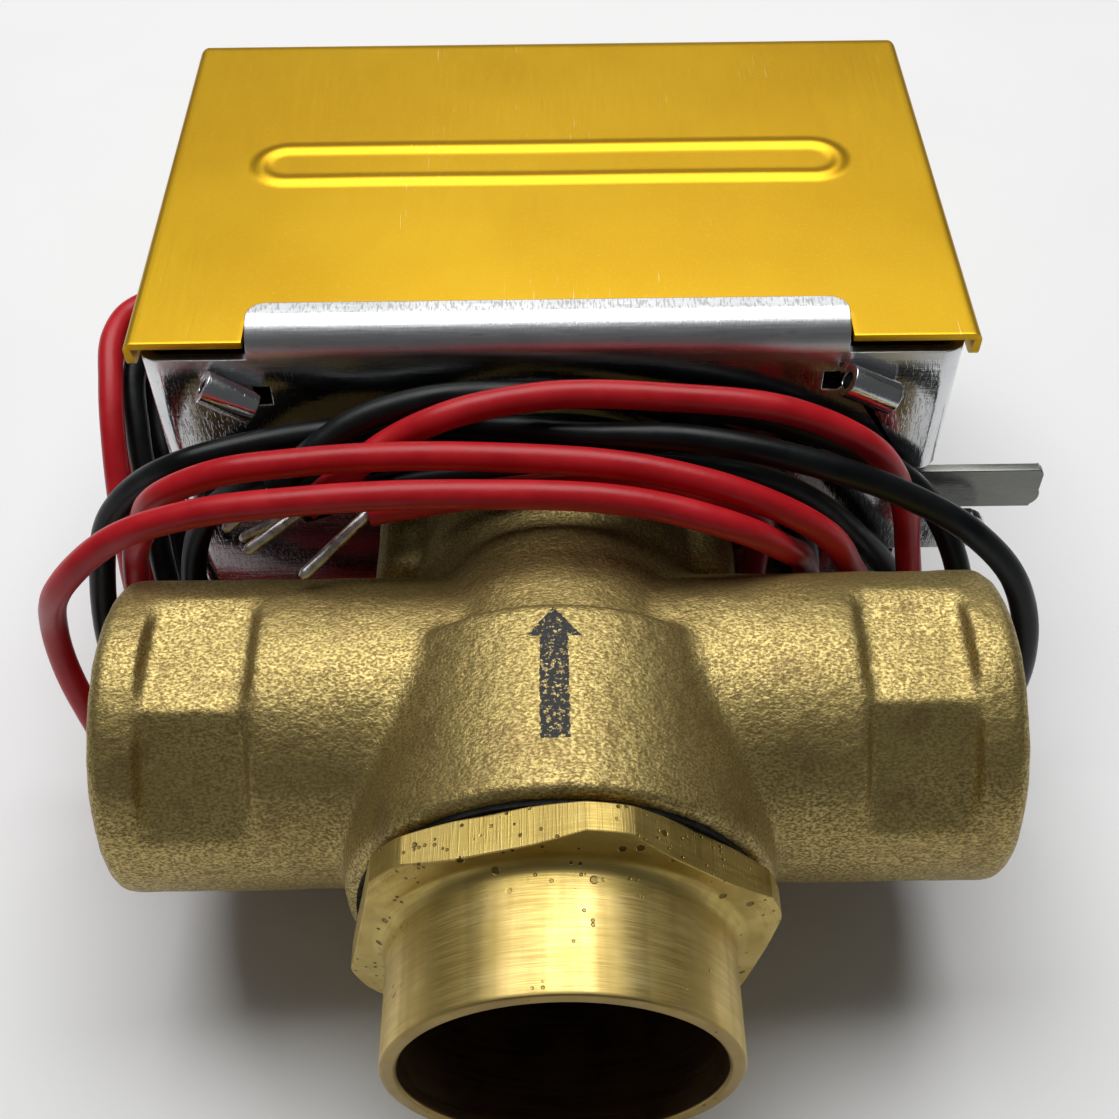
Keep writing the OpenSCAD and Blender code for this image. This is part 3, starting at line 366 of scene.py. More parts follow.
def turned_brass_look():
    """Machined brass: bright and yellow, with fine turning marks across Y and small dark pits."""
    look = Look("turned_brass", Metallic=1.0)
    y = look.axis("Y")
    marks = look.noise(0.00009, 2, stretch=(40, 1, 40))
    coarse = look.noise(0.00035, 2, stretch=(30, 1, 30), seed=4)
    haze = look.noise(0.006, 3, seed=9)
    bands = look.noise(0.0035, 3, stretch=(1, 14, 1), seed=27)
    colour = look.blend(look.ramp(haze, 0.3, 0.7), (0.60, 0.44, 0.14), (0.74, 0.57, 0.22))
    colour = look.blend(look.ramp(coarse, 0.35, 0.65, 0.0, 0.35), colour, (0.48, 0.34, 0.10))
    # The mouth's face is dull, and the hexagon's faces carry a second set of marks
    mouth = look.ramp(y, 0.00006, MOUTH_FACE, 1.0, 0.0)
    colour = look.blend(look.times(mouth, 0.8), colour, (0.24, 0.165, 0.06))
    # Painted shade: from the fillet upward, over the hexagon, the colour is blended darker and
    # olive, like the shaded fillet corner and hexagon's low face.
    corner = look.ramp(y, FILLET_LOW, FILLET_HIGH)
    colour = look.blend(look.times(corner, 0.35), colour, (0.42, 0.33, 0.07))
    across = look.ramp(look.noise(0.00016, 2, stretch=(1, 40, 1), seed=23), 0.5, 0.62)
    across = look.times(across, look.ramp(y, HEX_FACE, HEX_FACE + 0.0002))
    colour = look.blend(look.times(across, 0.45), colour, (0.42, 0.29, 0.09))
    pit = adapter_pits(look, y)
    colour = look.blend(look.times(pit, 0.85), colour, (0.06, 0.04, 0.015))
    colour = look.blend(look.ramp(bands, 0.45, 0.62, 0.0, 0.4), colour, (0.44, 0.32, 0.10))
    roughness = look.math("ADD", look.ramp(marks, 0.3, 0.7, 0.34, 0.48),
                          look.ramp(bands, 0.4, 0.6, 0, 0.1))
    return look.finish(colour, roughness, [
        (marks, 0.000006), (coarse, 0.000006), (across, 0.000008),
        (look.math("SUBTRACT", 1.0, pit), 0.00008)])


def cup_inside_shade_look():
    """Copper-brown inside of the solder cup: tarnished, and painted dark as shade in the cup's
    hollow.
    """
    look = Look("cup_inside", Metallic=0.8)
    rings = look.noise(0.0003, 2, stretch=(30, 1, 30))
    haze = look.noise(0.005, 3)
    colour = look.blend(look.ramp(haze, 0.3, 0.7), (0.07, 0.035, 0.018), (0.15, 0.085, 0.035))
    colour = look.blend(look.ramp(rings, 0.4, 0.6, 0, 0.4), colour, (0.16, 0.10, 0.04))
    return look.finish(colour, look.ramp(rings, 0.3, 0.7, 0.35, 0.5), [(rings, 0.00002)])


def gold_look():
    """Gold-anodised aluminium: satin, very finely brushed along Y, with a few pale scratches."""
    look = Look("gold_anodised", Metallic=0.86, Coat_Weight=0.12, Coat_Roughness=0.35)
    brush = look.noise(0.00011, 2, stretch=(1, 60, 1))
    cloud = look.noise(0.02, 2, seed=6)
    speck = look.noise(0.00025, 2, seed=8)
    colour = look.blend(look.ramp(cloud, 0.3, 0.7), (0.64, 0.365, 0.006), (0.69, 0.41, 0.009))
    colour = look.blend(look.ramp(speck, 0.55, 0.75, 0, 0.2), colour, (0.88, 0.60, 0.06))
    fine = look.noise(0.00016, 1, stretch=(1, 45, 1), seed=31)
    patch = look.ramp(look.noise(0.012, 1, seed=14), 0.58, 0.66)
    scratch = look.times(look.ramp(fine, 0.70, 0.76), patch)
    colour = look.blend(look.times(scratch, 0.6), colour, (0.95, 0.80, 0.35))
    roughness = look.ramp(brush, 0.3, 0.7, 0.39, 0.43)
    wave = look.noise(0.03, 1, seed=17)
    relief = [(wave, 0.00016), (brush, 0.0000012), (speck, 0.000005)]
    return look.finish(colour, roughness, relief)


# The band rubbed by the cover's edge on the chassis's lip, and where the lip starts to dull
SCUFF_LOW, SCUFF_HIGH, SCUFF_FRONT_Z, LIP_Z = 32.7, 34.4, 26.2, (21.5, 24.5)


def zinc_look(name, tone=(0.60, 0.61, 0.62), rough=(0.10, 0.16), scuffed=False):
    """Bright zinc-plated steel: nearly a mirror, faintly wavy and streaked along X."""
    look = Look(name, Metallic=1.0)
    streaks = look.noise(0.00016, 3, stretch=(30, 1, 1))
    wave = look.noise(0.012, 2, seed=5)
    cloud = look.noise(0.007, 3, seed=11)
    colour = look.blend(look.ramp(cloud, 0.3, 0.7), tone, tuple(1.15 * c for c in tone))
    roughness = look.ramp(streaks, 0.3, 0.7, *rough)
    relief = [(wave, 0.00007), (streaks, 0.000001)]
    if scuffed:
        z, y, low, high = look.axis("Z"), look.axis("Y"), level(SCUFF_LOW), level(SCUFF_HIGH)
        band = look.times(look.ramp(y, low, low + 0.0003),
                          look.ramp(y, high, high + 0.0002, 1.0, 0.0))
        band = look.times(band, look.math("GREATER_THAN", z, SCUFF_FRONT_Z * MM))
        ticks = look.ramp(look.noise(0.00022, 2, stretch=(1, 5, 5), seed=3), 0.5, 0.62)
        scuff = look.times(band, ticks)
        rub = look.ramp(look.noise(0.0006, 3, stretch=(5, 1, 1), seed=13), 0.64, 0.70)
        colour = look.blend(look.times(scuff, 0.65), colour, (0.30, 0.29, 0.27))
        colour = look.blend(look.times(rub, 0.4), colour, (0.36, 0.36, 0.36))
        lip = look.ramp(z, LIP_Z[0] * MM, LIP_Z[1] * MM, 0.0, 0.24)
        roughness = look.math("ADD", roughness, lip)
        grooves = look.noise(0.0005, 3, stretch=(9, 1, 1), seed=19)
        relief += [(ticks, 0.000006), (grooves, 0.00001)]
    return look.finish(colour, roughness, relief)


def steel_look():
    """Plain bright steel of screws, shafts and pins."""
    look = Look("bright_steel", Metallic=1.0)
    marks = look.noise(0.00014, 2, stretch=(8, 1, 8))
    haze = look.noise(0.003, 2, seed=3)
    colour = look.blend(look.ramp(haze, 0.3, 0.7), (0.52, 0.52, 0.53), (0.70, 0.70, 0.71))
    return look.finish(colour, look.ramp(marks, 0.3, 0.7, 0.2, 0.36), [(marks, 0.00001)])


def spring_look():
    """Drawn spring wire, a little darker than the other steel."""
    look = Look("spring_wire", Metallic=1.0)
    marks = look.noise(0.0002, 2)
    colour = look.blend(marks, (0.40, 0.41, 0.43), (0.66, 0.67, 0.70))
    return look.finish(colour, look.ramp(marks, 0.3, 0.7, 0.18, 0.3), [(marks, 0.000008)])


def tin_look():
    """Tinned copper strands: pale, slightly dull, with yellowish patches."""
    look = Look("tinned_copper", Metallic=1.0)
    haze = look.noise(0.0012, 3)
    colour = look.blend(look.ramp(haze, 0.35, 0.65), (0.50, 0.47, 0.42), (0.80, 0.79, 0.76))
    return look.finish(colour, look.ramp(haze, 0.3, 0.7, 0.25, 0.4), [(haze, 0.00001)])


def pvc_look(name, dark, light, gloss, rough=(0.32, 0.44)):
    """Soft PVC lead insulation, faintly uneven along its length, with dull finger marks."""
    look = Look(name, Specular_IOR_Level=gloss, Coat_Weight=0.08, Coat_Roughness=0.3)
    skin = look.noise(0.00022, 3)
    smear = look.noise(0.005, 3, seed=4)
    colour = look.blend(look.ramp(smear, 0.3, 0.7), dark, light)
    roughness = look.ramp(smear, 0.3, 0.7, *rough)
    dents = look.noise(0.003, 2, seed=9)
    return look.finish(colour, roughness, [(dents, 0.00009), (skin, 0.000012)])


def rubber_look():
    """Matt black rubber with a little pale dust."""
    look = Look("black_rubber", Specular_IOR_Level=0.15)
    skin = look.noise(0.0003, 3)
    dust = look.noise(0.002, 3, seed=2)
    colour = look.blend(look.ramp(dust, 0.4, 0.75), (0.006, 0.006, 0.006), (0.02, 0.019, 0.017))
    return look.finish(colour, look.ramp(skin, 0.3, 0.7, 0.5, 0.75), [(skin, 0.00003)])


def plastic_look(name, dark, light, rough=(0.35, 0.5), glow=0.0):
    """Moulded plastic with a fine spark-eroded skin."""
    look = Look(name, Subsurface_Weight=glow, Subsurface_Scale=0.001)
    skin = look.noise(0.00018, 2)
    cloud = look.noise(0.004, 2, seed=3)
    colour = look.blend(look.ramp(cloud, 0.3, 0.7), dark, light)
    return look.finish(colour, look.ramp(skin, 0.3, 0.7, *rough), [(skin, 0.00002)])


def winding_look():
    """Enamelled copper wire wound in fine layers."""
    look = Look("enamelled_copper", Metallic=0.85, Coat_Weight=0.4, Coat_Roughness=0.15)
    turns = look.noise(0.00013, 1, stretch=(30, 1, 30))
    colour = look.blend(look.ramp(turns, 0.35, 0.65), (0.30, 0.09, 0.03), (0.72, 0.31, 0.12))
    return look.finish(colour, look.ramp(turns, 0.3, 0.7, 0.25, 0.45), [(turns, 0.00005)])


LOOKS = {
    "cast_brass": cast_brass_look(),
    "turned_brass": turned_brass_look(),
    "zinc_steel": zinc_look("zinc_steel"),
    "bright_steel": steel_look(),
    "spring_steel": spring_look(),
    "gold_cover": gold_look(),
    "black_rubber": rubber_look(),
    "white_plastic": plastic_look("natural_acetal", (0.60, 0.57, 0.46), (0.72, 0.69, 0.58),
                                  glow=0.1),
    "black_plastic": plastic_look("black_plastic", (0.012, 0.012, 0.014), (0.03, 0.03, 0.034)),
    "red_plastic": plastic_look("red_plastic", (0.42, 0.03, 0.02), (0.52, 0.05, 0.03), (0.2, 0.35)),
    "copper": winding_look(),
    "tin": tin_look(),
    "red_pvc": pvc_look("red_pvc", (0.44, 0.007, 0.012), (0.54, 0.013, 0.02), 0.3),
    "black_pvc": pvc_look("black_pvc", (0.002, 0.003, 0.0034), (0.005, 0.0065, 0.007), 0.22),
}
CUP_INSIDE_PAINTED_SHADE = cup_inside_shade_look()
CHASSIS_LOOK = zinc_look("chassis_zinc", scuffed=True)
# The lever is the zinc look with its tone painted dark: painted shade for the dark surroundings
# that its mirror-like face reflects.
LEVER_PAINTED_DARK_ZINC = zinc_look("lever_zinc_painted_dark", (0.17, 0.175, 0.16), rough=(0.22, 0.30))


# ---------------------------------------------------------------- leads
LEAD_D = 2.9 * MM
# The bare end: its radius, the lay of its wires, its rings' distance, and the part inside the skin
STRAND_R, STRAND_LAY, STRAND_STEP, STRAND_HIDDEN = 0.6 * MM, 26 * MM, 0.25 * MM, 0.3 * MM
FLUTE_DEPTH = 0.03
RED_1 = [
    (-41.5, 58.5, 9.5), (-44.4, 58.5, 9.5), (-48.4, 57.4, 9.6), (-51.2, 54.6, 9.8),
    (-52.2, 50.6, 9.8), (-51.8, 44, 8), (-51, 37, 4), (-50, 30, -3), (-49, 25.5, -12),
    (-44.6, 20.8, -20.5),
    (-36, 17.8, -25.4), (-24, 17.4, -25.9), (0, 17.4, -26), (16, 17.4, -25.7), (24, 18, -22.5),
    (28.5, 19.5, -14), (28.5, 20.5, -4), (26.5, 18, 5), (23.5, 13, 12.5), (18, 10.7, 18.3),
    (9, 11, 21.6), (-8, 11.3, 23), (-25, 11.6, 22), (-36, 12, 19.8), (-43.5, 12.2, 16.5),
    (-50, 11.8, 10.5), (-54.2, 13.9, 0), (-53.6, 12.4, -11), (-48.5, 8.5, -21.3), (-38, 5.3, -25.6),
    (-24, 4.4, -26), (-4, 4.4, -26), (5, 4.4, -25.6), (13, 5.5, -22.8), (19.5, 12, -20),
    (22.8, 19, -16), (22.8, 24.6, -5), (22.5, 22.8, 4), (21, 19, 11), (16, 17.2, 15.8),
    (8, 16, 19), (-8, 14.6, 19.4), (-18.3, 13.4, 18.5)]
RED_2 = [
    (-41.5, 58.5, 6), (-44, 58.5, 6), (-47.7, 57.5, 5.8), (-50.5, 54.7, 5.2), (-51.7, 50.8, 4),
    (-50.8, 44, 0.8), (-49.8, 37, -4.5), (-49.2, 31, -13), (-46.8, 27, -19.7), (-42, 25, -24.2),
    (-34, 24.1, -25.8), (-16, 24.1, -26), (6, 24.1, -26), (18, 24.1, -25.7), (27, 22.8, -23.5),
    (34, 20.5, -18), (36.5, 18.6, -10), (34.5, 18.2, -2), (31.5, 17, 5), (28, 14.7, 12.5),
    (19, 14, 19.5), (9, 14.9, 22.4), (-5, 15.8, 23.4), (-25, 16.8, 22.1), (-34, 16.8, 20.5),
    (-40.5, 17.3, 16.5), (-43.8, 19.8, 9), (-46.4, 22, 2), (-47, 20.8, -5), (-45, 17.3, -14),
    (-39.5, 14, -22), (-30, 11.4, -25.5), (-18, 11, -26), (6, 11, -26), (22, 11, -25.9),
    (33, 11.9, -23.7), (39.8, 17, -16.5), (40.8, 21, -9), (39.6, 23.4, 0), (37.8, 23.7, 8),
    (33.8, 23, 16), (24.5, 23, 22), (12, 23.1, 24.2), (-2, 22.9, 24.7), (-11, 20.8, 24.1),
    (-17, 20.1, 21), (-21, 17.8, 19.1), (-25, 15, 17.4)]
BLACK_1 = [
    (-41.5, 55, 9.5), (-43, 55, 9.4), (-46.5, 54.1, 9.1), (-49, 51.6, 8.3), (-49.9, 48.1, 6.9),
    (-49.2, 41, 3), (-47.6, 34, -3), (-46, 28, -12), (-42.2, 23.3, -20.6), (-35.5, 21, -25.4),
    (-24, 20.7, -26), (0, 20.7, -26), (22, 20.6, -26), (34, 18.6, -26), (44, 15.7, -25.6),
    (50, 13.5, -20), (52, 13.2, -10.5), (51.4, 14.8, -2), (49, 16.2, 4), (44, 17.5, 9.5),
    (36, 18.6, 14.5), (26, 18.9, 19), (14, 19.8, 21.6), (2, 21.6, 20.7), (-10, 25, 19.2),
    (-20, 25.7, 18), (-31, 23.5, 18), (-38, 21.7, 17.3), (-43.5, 22.3, 13.5), (-48, 22.3, 8),
    (-50.2, 20.3, 0), (-50, 16.1, -10.5), (-45, 11.5, -21), (-35, 8.3, -25.5), (-22, 7.7, -26),
    (0, 7.7, -26), (22, 7.7, -26), (34, 8.8, -24.8), (43, 13, -19), (46.5, 18, -11),
    (45.6, 22.8, -2.5), (41.5, 26.5, 5), (34, 27.4, 11.5), (25, 27.2, 16.4), (12, 26.8, 20.2),
    (-2, 26.1, 22.1), (-14, 24.2, 23), (-20, 22.6, 21.9), (-25, 20.4, 19.3), (-28.6, 18.6, 16.4)]
BLACK_2 = [
    (-41.5, 55, 6), (-42.3, 55, 6), (-45.5, 54.1, 5.6), (-47.8, 51.8, 4.2), (-48.5, 48.5, 1.9),
    (-46.8, 40, -3.5), (-45.6, 34, -11.5), (-45.2, 31.2, -17.2), (-43.9, 29, -21),
    (-41, 27.8, -23.7), (-36.5, 27.6, -25.5), (-26, 27.4, -26), (-6, 27.4, -26),
    (12, 27.4, -25.9), (21.5, 27.2, -23.6),
    (27.5, 27, -17), (29.5, 26.8, -9), (28.5, 26.8, -2), (25, 27, 4), (18, 27, 10.5),
    (9, 26.6, 15.2), (-1, 26.2, 17.4), (-11, 25.4, 15.4), (-21, 22.8, 15.2), (-30, 23.2, 12.8),
    (-36.5, 25.2, 7.5), (-40.3, 26, 1), (-41.5, 23.5, -7), (-37.5, 19.2, -16), (-31, 15.2, -23.3),
    (-22, 14.2, -25.8), (-4, 14.2, -26), (14, 14.2, -26), (26, 14.8, -25.7), (36, 17, -22.4),
    (41, 21.8, -17), (39.5, 26.2, -8), (34, 26.2, 0), (28, 25, 7), (20, 22.8, 13.4),
    (10, 20.2, 17.6), (-2, 18.6, 18.8), (-12, 18.8, 17.6), (-20, 19, 15.4), (-26, 19.6, 12.4)]
# Route, tip of the bare strands, material and free length past the grommet
LEADS = {
    "red_1": (RED_1, (-25, 8, 15), "red_pvc", 0.44),
    "red_2": (RED_2, (-31, 11.5, 14.8), "red_pvc", 0.47),
    "black_1": (BLACK_1, (-33.8, 15.6, 13.6), "black_pvc", 0.51),
    "black_2": (BLACK_2, (-33.5, 19.4, 8), "black_pvc", 0.41),
}


def route_directions(points):
    """The direction of a route at each point, weighted towards the nearer neighbour."""
    found = [(points[1] - points[0]).normalized()]
    for before, here, after in zip(points, points[1:], points[2:]):
        a, b = (here - before).length, (after - here).length
        found.append(((after - here) * a / b + (here - before) * b / a).normalized())
    return found + [(points[-1] - points[-2]).normalized()]


def lead_curve(name, route):
    """A round Bezier curve through the points of a lead's route."""
    curve = bpy.data.curves.new(name, "CURVE")
    curve.dimensions = "3D"
    curve.bevel_depth, curve.bevel_resolution = LEAD_D / 2, 6
    curve.resolution_u = 10
    curve.use_fill_caps = True
    points = [at(*p) for p in route]
    spline = curve.splines.new("BEZIER")
    spline.bezier_points.add(len(points) - 1)
    gaps = [(b - a).length for a, b in zip(points, points[1:])]
    directions = route_directions(points)
    for i, (p, direction) in enumerate(zip(points, directions)):
        knot = spline.bezier_points[i]
        knot.handle_left_type = knot.handle_right_type = "FREE"
        knot.co = p
        knot.handle_left = p - direction * gaps[max(i - 1, 0)] / 3
        knot.handle_right = p + direction * gaps[min(i, len(gaps) - 1)] / 3
    return curve


def strand_mesh(name, start, tip):
    """Tinned wires in a twisted lay, drawn as one fluted rod with a tapered end."""
    along = tip - start
    steps = max(8, round(along.length / STRAND_STEP))
    first = start - along.normalized() * STRAND_HIDDEN
    points = [first.lerp(tip, i / steps) for i in range(steps + 1)]
    lay = 2 * math.pi / STRAND_LAY * along.length / steps

    def flutes(turn, i):
        worn = 1 - 0.25 * max(0.0, i - steps + 2)
        return worn * (1 - FLUTE_DEPTH + FLUTE_DEPTH * abs(math.cos(3 * (turn + lay * i))))
    return tube_mesh(name, points, STRAND_R, 48, flutes, 60)


def make_leads():
    """The four leads with their bare strands."""
    for name, (route, tip, slot, length) in LEADS.items():
        lead = piece("lead_" + name + "_skin", lead_curve("lead_" + name, route), "body",
                     LOOKS[slot], slot, "lead_" + name)
        wires = strand_mesh("strands_" + name, at(*route[-1]), at(*tip))
        bare = piece("strands_" + name + "_wires", wires, "body", LOOKS["tin"], "tin",
                     "strands_" + name)


make_leads()


# ---------------------------------------------------------------- cast body
def vertex_rows(mesh, what="co"):
    """The places, or with "normal" the normals, of a mesh's vertices, one row each."""
    rows = np.zeros(len(mesh.vertices) * 3)
    mesh.vertices.foreach_get(what, rows)
    return rows.reshape(-1, 3)


def smoothed(mesh, rounds, weight):
    """Moves each vertex towards its neighbours' middle, by weight of 0 to 1 at each vertex."""
    count = len(mesh.vertices)
    co = vertex_rows(mesh)
    ends = np.zeros(len(mesh.edges) * 2, int)
    mesh.edges.foreach_get("vertices", ends)
    a, b = ends[::2], ends[1::2]
    valence = np.bincount(a, minlength=count) + np.bincount(b, minlength=count)
    for _ in range(rounds):
        total = np.zeros((count, 3))
        for axis in range(3):
            total[:, axis] = (np.bincount(a, co[b, axis], count)
                              + np.bincount(b, co[a, axis], count))
        co += weight[:, None] * (total / valence[:, None] - co)
    mesh.vertices.foreach_set("co", co.ravel())
    mesh.update()
    return co


PORT_END = 43.65
THREAD_CREST, THREAD_ROOT, THREAD_PITCH, THREAD_DEPTH = 12.1, 13.0, 1.81, 17.0
CAST_VOXEL, QUICK_VOXEL = 0.45, 0.8
# Radii and heights that bound the machined inside, the hub's lower end and the arms' roots
ARM_R, ARM_BORE_R, BORE_START, HUB_BORE_R, HUB_BORE_TOP, BONNET_SEAT = 13.8, 13.6, 8, 16.8, -9, 25.8
HUB_LOW_EDGE, ROOT_FROM, ROOT_TO = -18.6, 12, 26
CRISP, SOFT, ROOT_SOFT = 0.12, 0.5, 0.6
# Lumps of the sand: size and depth
LUMPS = ((5 * MM, 0.09), (1.6 * MM, 0.05))


def port_cutter(side):
    """A plain cylinder along X that opens a port to the threads' root."""
    radius, length = (THREAD_ROOT + 0.1) * MM, 20
    work = bmesh.new()
    bmesh.ops.create_cone(work, cap_ends=True, segments=128, radius1=radius, radius2=radius,
                          depth=length * MM)
    middle_x = side * (PORT_END - THREAD_DEPTH + length / 2)
    work.transform(Matrix.Translation(at(middle_x, 0, 0)) @ Matrix.Rotation(math.pi / 2, 4, "Y"))
    mesh = bpy.data.meshes.new("cutter")
    work.to_mesh(mesh)
    work.free()
    return linked("cutter", mesh)


def voxel_casting():
    """The CAD body with its ports opened, remeshed into small even faces."""
    obj = linked("casting", nodes["valve_body"].data.copy())
    cutters = [port_cutter(side) for side in (-1, 1)]
    for cutter in cutters:
        bore = obj.modifiers.new("bore", "BOOLEAN")
        bore.operation, bore.object, bore.solver = "DIFFERENCE", cutter, "EXACT"
    remesh = obj.modifiers.new("skin", "REMESH")
    remesh.mode, remesh.voxel_size = "VOXEL", by_speed(CAST_VOXEL) * MM
    return final_mesh(obj, *cutters)


def cast_body():
    """The casting, with its edges and inside corners rounded as a sand casting's are."""
    made = voxel_casting()
    co = vertex_rows(made) / MM - np.array([0, CROSSING_Y / MM, 0])
    x, y, z = np.abs(co[:, 0]), co[:, 1], co[:, 2]
    from_axis, from_stem = np.hypot(y, z), np.hypot(x, z)
    inside = ((from_axis < ARM_BORE_R) & (x > BORE_START)
              | (from_stem < HUB_BORE_R) & (y < HUB_BORE_TOP) | (y > BONNET_SEAT))
    weight = np.where(inside | (y < HUB_LOW_EDGE), CRISP, SOFT)
    smoothed(made, by_speed(5), weight)
    root = (x > ROOT_FROM) & (x < ROOT_TO) & (from_axis > ARM_R) & ~inside
    co = smoothed(made, by_speed(14), np.where(root, ROOT_SOFT, 0.0))
    # Slight unevenness of a sand casting, on its outside only
    lump = np.array([sum(noise.noise(Vector(p) / size) * depth for size, depth in LUMPS)
                     for p in co]) * MM
    lump[inside] = 0
    moved = co + vertex_rows(made, "normal") * lump[:, None]
    made.vertices.foreach_set("co", moved.ravel())
    shade(made)
    piece("casting", made, "body", LOOKS["cast_brass"], "cast_brass", "valve_body")


def port_threads(side):
    """Female pipe thread as a true helix of rounded ridges, from the port's mouth inwards."""
    around, rows, inset, bevel = 96, 8, 0.1, 1.4
    steps = int(THREAD_DEPTH / THREAD_PITCH * around)
    verts, faces = [], []
    for i in range(steps + 1):
        turn = 2 * math.pi * i / around
        start = PORT_END - inset - THREAD_PITCH * i / around
        widened = 0.6 * max(0.0, bevel - (PORT_END - start))
        for k in range(rows + 1):
            share = k / rows
            r = THREAD_CREST + (THREAD_ROOT - THREAD_CREST) * abs(2 * share - 1) ** 0.8
            r = min(THREAD_ROOT + 0.05, r + widened)
            px = start - THREAD_PITCH * share
            px = min(PORT_END - inset, max(PORT_END - THREAD_DEPTH, px))
            verts.append(at(side * px, r * math.cos(turn), r * math.sin(turn)))
    for i in range(steps):
        for k in range(rows):
            a = i * (rows + 1) + k
            faces.append((a, a + 1, a + rows + 2, a + rows + 1))
    name = "port_thread_" + ("b" if side > 0 else "a")
    piece(name, mesh_of("port_thread", verts, faces), "body", LOOKS["turned_brass"], "turned_brass")


cast_body()
for port_side in (-1, 1):
    port_threads(port_side)


# ---------------------------------------------------------------- sweat adapter
HEX_TOP, HEX_LOW, HEX_FLATS, HEX_CORNER_R, HEX_TURN = -20.5, -24.3, 37.0, 20.3, 18.5
CUP_R, CUP_OUTER_R, CUP_MOUTH, CUP_BOTTOM = 14.35, 15.9, -36.0, -13.0
FILLET_R, FILLET_Y, STEM_R, STEM_TOP, STEM_CHAMFER, WAY_R = 1.4, -25.7, 16.35, -9.8, 0.6, 12.5


def hex_radius(turn):
    """Radius of the hexagon's outline in one direction, cut by the round chamfer."""
    share = (math.degrees(turn) - HEX_TURN) % 60 - 30
    return min(HEX_CORNER_R, HEX_FLATS / 2 / math.cos(math.radians(share)))


def adapter_profile():
    """Rings (radius, y) from the mouth over the outside to the stem's top and back down the cup."""
    flat, top, rim = HEX_FLATS / 2 - 0.5, STEM_TOP - STEM_CHAMFER, CUP_MOUTH
    fillet = [math.radians(7.5 * k) for k in range(1, 13)]
    return [
        (CUP_R + 0.25, rim), (CUP_OUTER_R - 0.3, rim), (CUP_OUTER_R - 0.05, rim + 0.15),
        (CUP_OUTER_R, rim + 0.45), (CUP_OUTER_R, -32), (CUP_OUTER_R, -28), (CUP_OUTER_R, -26.2),
        *[(CUP_OUTER_R + FILLET_R - FILLET_R * math.cos(a), FILLET_Y + FILLET_R * math.sin(a))
          for a in fillet],
        (flat, HEX_LOW), ("hex", HEX_LOW), ("hex", HEX_TOP), (flat, HEX_TOP),
        (STEM_R, HEX_TOP), (STEM_R, top), (STEM_R - STEM_CHAMFER, STEM_TOP), (WAY_R, STEM_TOP),
        (WAY_R, CUP_BOTTOM), (CUP_R, CUP_BOTTOM), (CUP_R, -30), (CUP_R, rim + 0.3)]


def adapter():
    """Hexagon with turned chamfers, fillet and cup, as one lathe-like skin of rings about Y."""
    profile = adapter_profile()
    steps, n, chamfer = 180, len(profile), 0.32
    verts, faces = [], []
    for k in range(steps):
        turn = 2 * math.pi * k / steps
        edge = hex_radius(turn)
        for r, y in profile:
            if r == "hex":
                # The chamfer lowers the hexagon's corners where they pass the flats
                drop = max(0.0, edge - HEX_FLATS / 2 - 0.25) * chamfer
                y += drop if y == HEX_LOW else -drop
                r = edge
            verts.append(at(r * math.cos(turn), y, r * math.sin(turn)))
    for k in range(steps):
        after = (k + 1) % steps
        for i in range(n):
            j = (i + 1) % n
            faces.append((k * n + i, after * n + i, after * n + j, k * n + j))
    mesh = mesh_of("adapter", verts, faces)
    work = bmesh.new()
    work.from_mesh(mesh)
    round_edges(work, 0.12 * MM, 24)
    work.to_mesh(mesh)
    work.free()
    shade(mesh, 14)
    piece("solder_cup", mesh, "body", LOOKS["turned_brass"], "turned_brass", "sweat_adapter")
    mesh.materials.append(CUP_INSIDE_PAINTED_SHADE)
    for face in mesh.polygons:
        if math.hypot(face.center.x, face.center.z) < (CUP_R + 0.1) * MM:
            face.material_index = 1


adapter()


# ---------------------------------------------------------------- gold cover
COVER_W, COVER_T, COVER_LOW, COVER_HIGH = 88.0, 0.8, 29.9, 88.3
FRONT_Z, BACK_Z, RIM, RIM_CORNER = 26.2, -27.8, 3.4, 1.5
SIDE_FOLD_R, TOP_FOLD_R, COVER_EDGE_R, BOWED = 0.9, 2.2, 0.14, 0.10
NOTCH_HALF, NOTCH_X, NOTCH_TOP = 31.3, -0.5, 33.2
BEAD_Y, BEAD_HALF, BEAD_R, BEAD_PROUD = 61.0, 30.3, 3.1, 0.35


def cover_outline(inset, radius, fine):
    """Points of the cover's U in (y, z), from the front's lower edge over the top to the back's."""
    top, front, back = COVER_HIGH - inset, FRONT_Z - inset, BACK_Z + inset
    past = max(0.0, inset - RIM + RIM_CORNER)
    low = COVER_LOW + RIM_CORNER - math.sqrt(RIM_CORNER ** 2 - past ** 2)
    fold, rough = np.linspace(0, math.pi / 2, 7)[1:-1], np.linspace(0, 1, 12)
    high, ahead, behind = top - radius, front - radius, back + radius
    points = [(low + (high - low) * s, front) for s in np.linspace(0, 1, fine)]
    points += [(high + radius * math.sin(a), ahead + radius * math.cos(a)) for a in fold]
    points += [(top, ahead + (behind - ahead) * s) for s in rough]
    points += [(high + radius * math.cos(a), behind - radius * math.sin(a)) for a in fold]
    points += [(high + (low - high) * s, back) for s in rough]
    return points


def bead_height(x, y):
    """Height of the plain raised bead, a ridge along a stadium."""
    dx = max(0.0, abs(x) - BEAD_HALF)
    off = abs(math.hypot(dx, y - BEAD_Y) - BEAD_R)
    return BEAD_PROUD * max(0.0, math.cos(min(1.0, off / 1.15) * math.pi / 2)) ** 1.3


